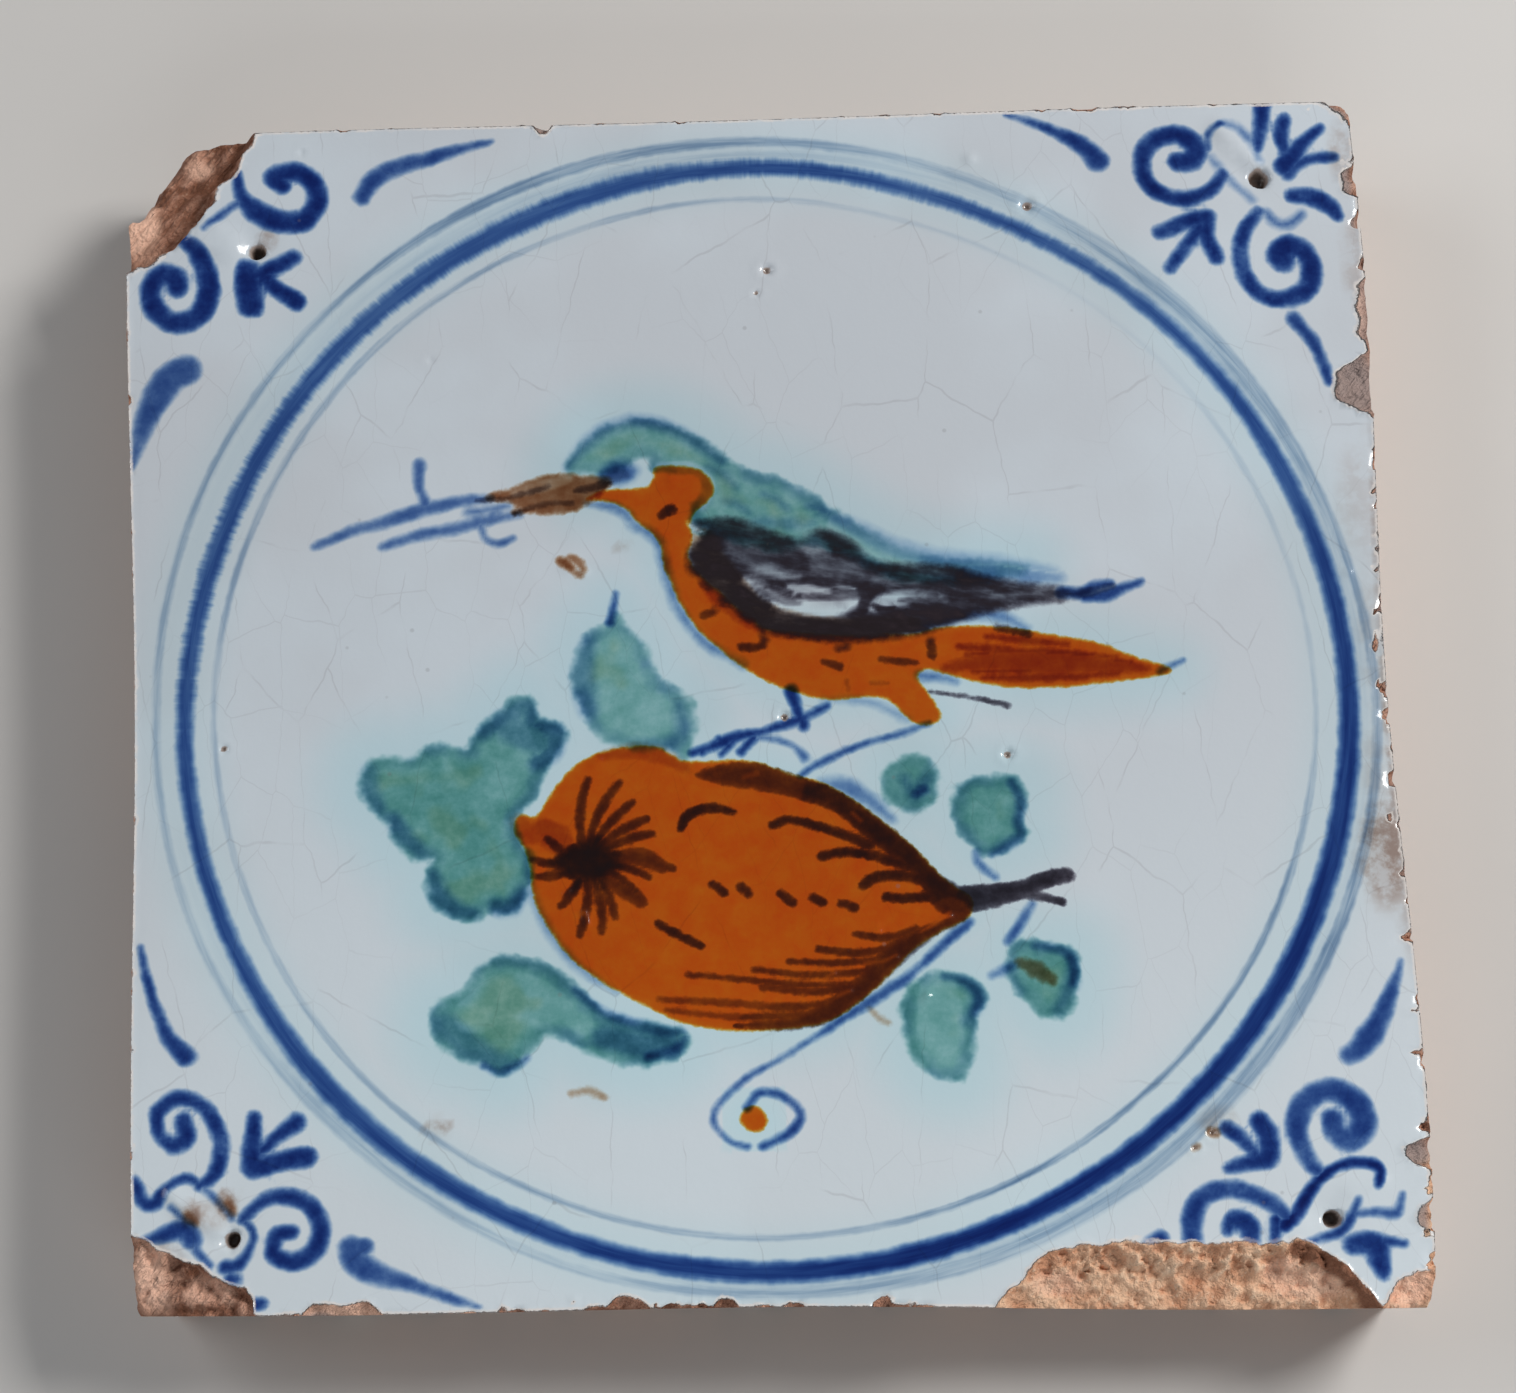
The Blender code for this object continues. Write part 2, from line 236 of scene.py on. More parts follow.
def face_point(across, up):
    """The points of the face at these shares of its width and height."""
    low = edge_point("bottom", 1 - across)
    high = edge_point("top", across)
    left = edge_point("left", up)
    right = edge_point("right", 1 - up)
    bottom_line = between(corner("bottom_left"), corner("bottom_right"), across)
    top_line = between(corner("top_left"), corner("top_right"), across)
    up = up[:, None]
    across = across[:, None]
    fitted = low + (high - low) * up + left + (right - left) * across
    return fitted - bottom_line - (top_line - bottom_line) * up


def narrowed(places, level):
    """Places of the face moved in to where the sloping sides are at this height."""
    narrowing = 2 * UNDERCUT * (1 - level / THICKNESS)
    return places * np.column_stack((1 - narrowing / WIDTH, 1 - narrowing / HEIGHT))


def flat(places, z=0.0):
    """Places of the face with a third coordinate."""
    return np.column_stack((places, np.full(len(places), z)))


def lumps(places, seed):
    """The unevenness of broken clay at places of the face."""
    return CLAY_LUMP_HEIGHT * noise_at(flat(places, seed * WIDTH), CLAY_LUMP_SIZE)


def break_frame(name):
    """Where a corner's break line starts, its direction, the way out from it, and its length."""
    reach_a, reach_b = CORNER_BREAKS[name]["reach"]
    before = next(ends[0] for ends in EDGES.values() if ends[1] == name)
    after = next(ends[1] for ends in EDGES.values() if ends[0] == name)
    back_along = corner(before) - corner(name)
    on_along = corner(after) - corner(name)
    start = corner(name) + back_along / np.linalg.norm(back_along) * reach_a
    end = corner(name) + on_along / np.linalg.norm(on_along) * reach_b
    length = np.linalg.norm(end - start)
    along = (end - start) / length
    return start, along, np.array((-along[1], along[0])), length


class CornerBreak:
    """A corner that broke off along a line from one of its edges to the other."""

    def __init__(self, name, seed, faces):
        self.form = CORNER_BREAKS[name]
        self.start, self.along, self.out, self.length = break_frame(name)
        distance = (faces - self.start) @ self.out
        self.near = np.flatnonzero(distance > -BREAK_MARGIN)
        places = faces[self.near]
        self.wander = BREAK_LINE_WANDER * lumps(places, seed) + line_wander(places)
        if name in BREAK_BOWS:
            run = (places - self.start) @ self.along
            self.wander += np.interp(run / self.length, *BREAK_BOWS[name])
        self.rough = lumps(places, seed + 1)

    def depth(self, places):
        """How far past the break these places are, and how deep the clay lies there."""
        form = self.form
        run = (places - self.start) @ self.along
        distance = (places - self.start) @ self.out
        past = distance + self.wander
        drop_run = form["step"] / BREAK_STEEPNESS
        drop = form["step"] * np.minimum(past / drop_run, 1)
        fall = form["slope"] * np.maximum(past - drop_run, 0)
        tip = TIP_STEEPNESS * np.maximum(past - form["tip"], 0)
        height, share, off = form["lump"]
        spread = ((run - share * self.length) ** 2 + (distance - off) ** 2) / LUMP_WIDTH ** 2
        lump = height * np.exp(-spread)
        depth = drop + fall + tip - lump + self.rough * rising(past / drop_run)
        return past, np.where(past < 0, BREAK_STEEPNESS * past, depth)


class EdgeChip:
    """A shallow chip that opens onto one edge."""

    def __init__(self, chip, seed, faces):
        self.edge, at, self.length, self.reach, self.deep, self.lead_in, self.lead_out = chip
        first, last = EDGES[self.edge]
        along = corner(last) - corner(first)
        self.along = along / np.linalg.norm(along)
        self.out = outward(self.edge)
        middle = edge_point(self.edge, np.array((at,)))[0]
        self.start = middle - self.along * self.length / 2 - self.out * self.reach
        run = (faces - self.start) @ self.along
        distance = (faces - self.start) @ self.out
        inside = (run > -BREAK_MARGIN) & (run < self.length + BREAK_MARGIN)
        self.near = np.flatnonzero(inside & (distance > -BREAK_MARGIN))
        places = faces[self.near]
        share = min(self.reach / 2, 1)
        self.wander = BREAK_LINE_WANDER * lumps(places, seed) + share * line_wander(places)
        self.rough = np.abs(lumps(places, seed + 1))

    def depth(self, places):
        """How far past the chip's line these places are, and how deep the clay lies there."""
        run = (places - self.start) @ self.along
        distance = (places - self.start) @ self.out
        lead = np.minimum(rising(run / self.lead_in), rising((self.length - run) / self.lead_out))
        past = self.reach * np.sqrt(lead) - (self.reach - distance) + self.wander
        scoop = SCOOP_SHARE * self.deep * rising(past / (self.reach * SCOOP_RUN_SHARE))
        slope = (1 - SCOOP_SHARE) * self.deep / self.reach
        return past, np.where(past < 0, BREAK_STEEPNESS * past, scoop + slope * past + self.rough)


def line_wander(places):
    """The fine raggedness of a line along which glaze broke."""
    return layered(flat(places), LINE_WANDER)


def broken_surface(faces):
    """The height of the face at each place, the distance past a break, and the clay's relief."""
    breaks = [CornerBreak(name, 2 * i + 1, faces) for i, name in enumerate(CORNER_BREAKS)]
    first_chip = len(CORNER_BREAKS)
    breaks += [EdgeChip(c, 2 * (i + first_chip) + 1, faces) for i, c in enumerate(EDGE_CHIPS)]
    near = np.unique(np.concatenate([b.near for b in breaks]))
    spot = flat(faces[near])
    sandy = sandy_share(spot)
    grain = (0.26 + 0.30 * sandy) * grain_at(spot, 2.1, 21)
    grain += (0.20 + 0.30 * sandy) * np.abs(grain_at(spot, 1.1, 31))
    crests = CREST_HEIGHT * (0.30 - np.abs(noise_at(spot, 2.6, 51)))
    grain += laminae(faces[near]) + crests * (1 - 0.5 * sandy)
    grain *= 1 + 0.9 * rising((-50 - spot[:, 0]) / 6) * rising((-50 - spot[:, 1]) / 6)
    grain *= 1 + 0.8 * sandy * rising((spot[:, 1] + 62.2) / 1.4)
    fine = np.zeros(len(faces))
    fine[near] = grain
    level = np.full(len(faces), THICKNESS)
    past_all = np.full(len(faces), FAR)
    for _ in range(SETTLING_STEPS):
        places = narrowed(faces, level)
        deepest = np.zeros(len(faces))
        past_all[:] = FAR
        for one in breaks:
            past, depth = one.depth(places[one.near])
            deepest[one.near] = np.maximum(deepest[one.near], depth)
            past_all[one.near] = np.maximum(past_all[one.near], past)
        rough = fine * rising(past_all / 0.5)
        level = 0.5 * (level + THICKNESS - np.maximum(deepest + rough, 0))
    return level, past_all, -fine


def sandy_share(places):
    """From 0 to 1 where the clay is sandy and pale, at the long chip of the bottom edge."""
    return rising((places[:, 0] - 12) / 10) * rising((-48 - places[:, 1]) / 6)


def laminae(places):
    """The long ridges of the top left break, where the clay parted in layers."""
    start, along, out, _ = break_frame("top_left")
    run = (places - start) @ along
    distance = (places - start) @ out
    drawn_out = flat(np.column_stack((run / LAMINA_LENGTH, distance / LAMINA_WIDTH)), 4.0)
    return LAMINA_HEIGHT * noise_at(drawn_out, 1.0, 33) * rising((distance + 1) / LAMINA_WIDTH)


def rim_nibble(faces, inset):
    """How far the rim's own small nibbles reach past these places."""
    bite = layered(flat(faces), RIM_BITES)
    right = rising((faces[:, 0] - 55) / 6)
    bottom = rising((-55 - faces[:, 1]) / 6)
    reach = 0.9 + 2.4 * right + 2.0 * bottom
    bite += 0.12 * np.maximum(right, bottom) - 0.26
    return np.minimum(np.maximum(bite, 0) * reach, 1.3) - inset


def glaze_relief(faces):
    """The height of the glaze's own waves, pits, dimples, pimples and ridges."""
    spot = flat(faces)
    relief = layered(spot, GLAZE_WAVES)
    uneven = 1 + layered(spot, PIT_UNEVENNESS)
    for place, radius, deep in POINT_HOLES:
        away = np.linalg.norm(faces - place, axis=1) * uneven
        dimple = np.linalg.norm(faces - place - np.array((-0.9, 0.4)), axis=1) / DIMPLE_WIDTH
        relief -= DIMPLE_DEPTH * np.exp(-dimple ** 2 * 1.4)
        relief -= deep * (1 - rising((away / radius - 0.45) / 0.75))
    for place, radius, height in PINHOLES:
        away = np.linalg.norm(faces - place, axis=1) / radius
        relief += height * np.exp(-away ** 2 * 1.6)
        if height < 0:
            relief += 0.25 * abs(height) * np.exp(-((away - 1.7) / 0.6) ** 2)
    for start, end, width, height in RIDGES:
        relief += height * np.exp(-(2 * line_distance(faces, start, end) / width) ** 2)
    return relief


def pit_depth(faces):
    """How deep in a pit each place of the face lies, from 0 to 1."""
    deep = np.zeros(len(faces))
    for place, radius, _ in POINT_HOLES:
        away = np.linalg.norm(faces - place, axis=1) / radius
        deep = np.maximum(deep, 1 - rising((away - 0.55) / 0.65))
    for place, radius, height in PINHOLES:
        away = np.linalg.norm(faces - place, axis=1) / radius
        if height < -0.2:
            deep = np.maximum(deep, 0.75 * (1 - rising((away - 0.25) / 0.75)))
    return deep


def line_distance(places, start, end):
    """The distance of each place from a straight line between two ends."""
    start = np.array(start)
    run = np.array(end) - start
    share = np.clip(((places - start) @ run) / (run @ run), 0, 1)
    return np.linalg.norm(places - start - share[:, None] * run, axis=1)


# The painting. Each stroke is (load, widths along it, places along it), all in mm on the face,
# where load is how much pigment the brush left.
CORNER_ORNAMENT = {
    "top_left": [
        (1.05, (1.8, 2.1, 2.1, 2.1, 2.2, 2.5, 2.5, 2.4, 1.3, 0.8), (
            (-49.0, 58.9), (-50.0, 60.0), (-47.6, 60.5), (-45.7, 59.0), (-45.5, 56.6),
            (-47.2, 54.7), (-50.0, 55.0), (-52.4, 56.5), (-53.6, 58.4), (-53.9, 60.4))),
        (0.85, (0.6, 0.8, 0.9), ((-57.3, 54.1), (-55.3, 56.0), (-53.5, 57.2))),
        (1.05, (1.3, 1.9, 2.2, 2.3, 2.4, 2.4, 2.3, 2.3, 2.2, 2.4, 2.3), (
            (-59.6, 53.0), (-58.2, 51.6), (-57.1, 49.0), (-57.0, 46.2), (-58.4, 44.0), (-60.8, 43.6),
            (-62.7, 45.4), (-62.9, 47.6), (-61.8, 49.0), (-60.4, 48.6), (-60.2, 47.5))),
        (1.10, (2.6, 2.9, 2.8), ((-52.8, 49.2), (-52.6, 47.2), (-52.4, 45.3))),
        (1.10, (1.5, 1.8, 1.7), ((-51.9, 48.8), (-49.6, 49.7), (-47.9, 50.6))),
        (1.10, (1.4, 1.8, 2.0), ((-51.3, 48.8), (-49.6, 46.9), (-47.6, 45.5))),
        (0.74, (1.8, 2.0, 1.8, 1.6, 1.0, 0.3), (
            (-40.6, 57.4), (-39.5, 59.2), (-37.4, 60.5), (-33.3, 61.7), (-29.5, 62.8), (-26.6, 63.5))),
        (0.58, (3.2, 3.4, 2.6, 1.8, 0.5), (
            (-59.2, 38.0), (-60.8, 37.2), (-62.6, 34.3), (-63.8, 31.2), (-64.9, 27.2))),
    ],
    "top_right": [
        (0.95, (0.4, 0.8, 1.3, 1.9, 2.3), (
            (28.5, 65.2), (31.0, 64.2), (34.0, 62.8), (36.5, 61.2), (38.0, 59.5))),
        (1.05, (0.9, 1.6, 1.8, 1.7, 1.7, 1.8, 1.9, 2.0, 2.3, 2.4, 2.0), (
            (51.3, 57.6), (49.6, 55.6), (47.0, 54.8), (44.3, 55.6), (42.8, 57.7), (42.9, 60.2),
            (44.6, 62.0), (46.8, 62.3), (48.5, 61.0), (48.1, 59.3), (46.6, 59.1))),
        (0.85, (0.6, 0.7, 0.5), ((49.8, 60.6), (50.0, 62.3), (51.3, 63.4))),
        (1.05, (1.6, 1.8, 1.6), ((44.2, 51.0), (46.6, 51.9), (49.2, 52.7))),
        (1.05, (1.5, 1.7, 1.6), ((49.4, 52.5), (49.1, 50.3), (50.0, 47.9))),
        (1.05, (1.4, 1.4, 1.6), ((45.0, 46.9), (46.5, 48.8), (48.4, 51.4))),
        (1.05, (1.2, 1.5, 1.7, 1.7, 1.7, 1.7, 1.8, 2.2, 2.2, 2.2, 2.6, 2.5), (
            (54.8, 53.0), (53.2, 51.0), (52.6, 48.5), (52.9, 45.7), (54.4, 43.6), (56.8, 42.9),
            (59.2, 43.9), (60.0, 46.2), (59.4, 48.2), (57.9, 49.0), (56.6, 48.1), (57.1, 47.3))),
        (1.00, (1.9, 1.6, 0.9), ((56.0, 65.5), (55.6, 63.0), (55.3, 60.5))),
        (1.00, (1.3, 1.5, 1.3), ((58.2, 63.9), (57.8, 62.0), (58.0, 60.3))),
        (1.05, (0.8, 1.7, 2.4), ((62.0, 62.7), (60.0, 60.8), (58.1, 58.4))),
        (0.95, (0.9, 1.2, 1.3, 1.2), ((63.4, 59.2), (61.0, 59.1), (59.3, 58.4), (58.3, 57.3))),
        (1.05, (1.7, 2.1, 1.9, 1.0), ((58.6, 54.8), (60.5, 54.6), (62.3, 53.7), (63.3, 52.3))),
        (0.90, (1.6, 1.4, 1.1, 0.9), ((57.8, 40.6), (59.3, 38.4), (60.3, 36.2), (61.0, 33.4))),
    ],
    "bottom_left": [
        (0.90, (0.5, 0.8, 1.1, 1.3, 2.0), (
            (-63.6, -25.0), (-63.0, -28.0), (-61.8, -32.0), (-60.5, -34.8), (-58.9, -36.4))),
        (1.00, (1.5, 1.5, 1.6, 1.6, 1.6, 1.5, 1.0), (
            (-61.8, -42.1), (-60.0, -40.8), (-57.7, -41.3), (-56.0, -43.5), (-55.4, -46.0),
            (-56.1, -48.6), (-57.6, -49.8))),
        (1.05, (1.2, 1.3, 1.5, 1.8, 1.8), (
            (-61.8, -42.0), (-61.6, -44.3), (-60.2, -45.6), (-58.9, -44.8), (-59.1, -43.1))),
        (1.10, (1.4, 1.7, 2.2), ((-52.1, -43.0), (-52.3, -45.5), (-52.4, -47.8))),
        (1.10, (1.9, 1.8, 2.1), ((-52.2, -48.2), (-49.5, -47.5), (-46.9, -47.2))),
        (1.10, (1.0, 1.4, 1.9), ((-51.2, -46.2), (-49.3, -44.6), (-47.9, -43.6))),
        (1.00, (0.8, 1.2, 1.6, 1.7, 1.8, 1.9, 1.9, 1.8, 1.6, 1.4), (
            (-53.4, -53.4), (-51.5, -51.7), (-49.0, -51.1), (-46.6, -52.1), (-45.5, -54.5),
            (-46.3, -56.9), (-48.5, -57.7), (-50.2, -56.9), (-49.9, -55.1), (-48.4, -54.7))),
        (1.05, (0.8, 1.4, 1.3, 0.9, 0.9, 0.8), (
            (-64.0, -49.0), (-63.2, -51.2), (-62.0, -51.4), (-60.9, -50.0), (-59.0, -48.9),
            (-57.4, -49.8))),
        (0.60, (0.7, 0.6, 0.6), ((-57.4, -49.8), (-56.0, -51.2), (-54.4, -53.1))),
        (0.95, (0.8, 1.2, 2.0, 1.9), ((-63.5, -55.4), (-61.0, -54.6), (-59.0, -54.2), (-58.3, -55.3))),
        (0.80, (0.5, 0.6), ((-60.3, -51.9), (-59.0, -53.4))),
        (0.80, (0.8, 0.7), ((-58.0, -56.2), (-56.6, -57.8))),
        (1.00, (1.3, 1.2, 0.9, 0.7, 0.6), (
            (-55.0, -58.1), (-53.8, -58.0), (-52.7, -56.6), (-52.2, -54.9), (-53.2, -53.5))),
        (0.95, (1.2, 1.3), ((-54.4, -59.3), (-53.9, -59.4))),
        (1.00, (1.3, 1.2), ((-53.4, -62.2), (-51.4, -61.9))),
        (0.66, (2.3, 2.7, 1.7, 1.2, 0.9, 0.4), (
            (-42.6, -56.5), (-42.0, -58.0), (-39.8, -59.3), (-36.4, -60.5), (-33.0, -61.8),
            (-29.9, -62.9))),
        (0.66, (1.8, 1.8), ((-41.3, -56.5), (-42.0, -57.2))),
    ],
    "bottom_right": [
        (0.74, (0.4, 1.1, 2.1, 2.6, 2.0), (
            (64.0, -30.0), (62.9, -33.0), (61.2, -36.4), (59.4, -38.8), (58.0, -39.7))),
        (0.82, (1.4, 1.8, 2.2, 2.3, 2.2, 2.5, 2.7, 2.6, 2.4, 2.1), (
            (54.1, -51.6), (52.8, -49.5), (52.3, -47.0), (53.3, -44.4), (55.8, -43.3), (58.2, -44.4),
            (59.0, -46.7), (57.7, -48.5), (56.1, -47.7), (56.0, -46.3))),
        (1.05, (1.9, 2.1, 2.2), ((48.6, -46.2), (49.4, -48.0), (49.3, -49.9))),
        (1.05, (1.5, 1.4, 1.1), ((45.3, -46.9), (46.8, -48.2), (47.9, -49.6))),
        (1.05, (1.2, 1.6, 1.9), ((45.2, -51.0), (47.0, -50.6), (49.0, -50.2))),
        (1.40, (1.3, 1.4, 1.3, 1.1, 0.9, 1.0, 1.0, 0.7), (
            (50.4, -57.0), (51.8, -55.7), (53.3, -53.5), (54.8, -51.9), (57.0, -50.9), (59.3, -50.9),
            (60.4, -51.7), (60.0, -53.1))),
        (0.85, (2.0, 2.1, 2.0, 1.8, 1.8, 1.7, 1.4), (
            (41.2, -58.6), (41.2, -56.0), (42.6, -53.8), (45.2, -53.1), (48.0, -54.0), (50.2, -55.5),
            (51.0, -56.4))),
        (1.05, (1.3, 1.9, 2.2, 1.8), ((44.7, -57.3), (45.5, -56.2), (46.8, -57.0), (47.0, -58.4))),
        (1.20, (1.1, 1.1), ((49.6, -56.4), (49.3, -58.6))),
        (0.90, (0.6, 0.8, 0.9, 0.9, 0.6), (
            (52.2, -59.1), (54.0, -58.4), (56.0, -57.8), (57.2, -56.2), (58.0, -54.7))),
        (0.75, (0.5, 0.9, 0.9, 0.5), ((57.0, -56.0), (59.5, -55.9), (61.7, -56.0), (62.4, -54.2))),
        (1.05, (1.8, 2.6, 2.4, 1.2), ((57.0, -59.1), (59.2, -59.3), (59.6, -60.6), (60.0, -62.3))),
        (0.95, (1.0, 0.8), ((60.2, -58.9), (62.2, -59.2))),
        (1.05, (1.4, 1.6), ((36.9, -58.5), (37.9, -58.1))),
    ],
}

# The bird's outlines, the twig in its beak, its legs, and the tendril, stalks and leaf tips.
BLUE_LINES = [
    (0.52, (0.8, 1.1, 1.3, 1.6, 1.3, 0.8), (
        (-45.8, 17.8), (-42.0, 19.4), (-38.0, 20.5), (-34.5, 21.6), (-31.0, 22.4), (-27.5, 22.7))),
    (0.60, (1.3, 0.9, 1.2), ((-34.8, 26.6), (-34.9, 24.3), (-34.2, 22.2))),
    (0.54, (0.9, 1.2, 1.3, 1.2, 0.8), (
        (-38.8, 17.6), (-35.0, 18.8), (-31.0, 19.5), (-28.0, 20.2), (-24.5, 20.9))),
    (0.60, (0.8, 0.6, 0.7, 0.6), ((-28.6, 19.9), (-28.0, 18.2), (-26.6, 17.6), (-25.2, 18.2))),
    (0.30, (1.2, 2.3, 1.7), ((-15.5, 24.8), (-14.0, 25.2), (-13.2, 25.1))),
    (1.10, (1.2, 1.1, 0.9), ((3.1, 0.6), (3.6, -1.0), (4.4, -3.3))),
    (1.10, (0.6, 0.9, 0.9, 0.6), ((6.9, -1.1), (5.0, -2.0), (2.6, -3.0), (0.0, -3.7))),
    (1.15, (0.6, 1.1, 1.2, 0.7), ((0.2, -3.7), (-2.4, -4.2), (-4.6, -5.0), (-7.1, -5.8))),
    (1.15, (0.8, 0.7), ((-6.2, -5.8), (-4.4, -4.4))),
    (1.15, (0.6, 0.8), ((-4.2, -6.0), (-2.6, -4.3))),
    (1.15, (0.8, 0.8), ((-2.2, -5.8), (-0.9, -4.4))),
    (0.60, (0.6, 0.5, 0.6, 0.8), ((-0.6, -4.2), (2.0, -4.8), (3.5, -5.6), (4.3, -6.7))),
    (0.80, (0.5, 0.6, 0.6, 0.7, 0.5), (
        (17.2, -3.3), (14.5, -4.3), (10.0, -5.5), (6.0, -7.2), (3.8, -8.6))),
    (0.95, (1.0, 1.2, 1.2, 0.8), ((31.6, 10.6), (33.8, 10.5), (35.4, 11.2), (36.8, 11.4))),
    (0.95, (0.8, 1.3, 1.1, 0.5), ((34.0, 10.0), (36.0, 10.2), (38.0, 10.9), (40.0, 11.6))),
    (0.60, (0.8, 0.3), ((41.4, 1.7), (43.8, 2.8))),
    (0.75, (0.9, 0.9, 0.8, 1.0, 1.2, 0.7, 0.5, 0.5, 0.55, 0.6, 0.5, 0.4), (
        (20.4, -24.8), (17.6, -27.1), (14.6, -29.8), (11.5, -31.9), (8.3, -33.8), (4.5, -36.2),
        (0.5, -38.6), (-3.0, -40.5), (-5.6, -43.0), (-6.1, -44.8), (-4.6, -46.8), (-2.8, -47.4))),
    (0.95, (0.7, 0.8, 0.8, 0.8, 0.9, 0.8, 0.6), (
        (-2.7, -43.4), (-1.6, -42.0), (0.2, -42.0), (2.0, -43.3), (2.6, -44.6), (1.2, -46.2),
        (-1.4, -47.5))),
    (0.80, (0.9, 0.7, 0.4), ((-15.3, 8.6), (-14.9, 10.2), (-14.6, 11.8))),
    (0.50, (0.7, 0.9, 0.7), ((-29.0, -38.2), (-27.3, -39.0), (-24.7, -37.6))),
    (0.36, (0.6, 1.0, 1.3, 0.8), ((-19.8, -30.6), (-16.6, -33.2), (-12.4, -34.8), (-8.9, -35.4))),
    (0.50, (0.8, 1.1, 0.9), ((-12.6, -37.8), (-9.9, -37.3), (-8.8, -36.0))),
    (0.42, (0.8, 1.1, 1.0, 1.3, 0.7), (
        (25.4, -10.0), (26.3, -12.0), (25.8, -14.2), (25.9, -15.7), (23.1, -17.6))),
    (0.50, (0.8, 0.8, 0.7), ((21.4, -17.3), (21.6, -18.4), (23.2, -20.0))),
    (0.40, (0.7, 0.9, 1.0, 0.8), ((27.0, -27.4), (29.8, -28.0), (30.8, -29.6), (30.6, -31.4))),
    (0.60, (0.9, 0.9, 0.8), ((26.9, -23.0), (25.6, -25.0), (24.2, -26.9))),
    (0.50, (0.9, 1.0), ((22.5, -30.4), (24.6, -29.4))),
    (0.35, (0.6, 1.0, 1.1, 0.8), ((17.6, -30.3), (19.8, -30.9), (21.0, -32.4), (20.5, -34.2))),
    (0.75, (0.8, 0.9), ((15.6, -10.9), (16.4, -10.5))),
]

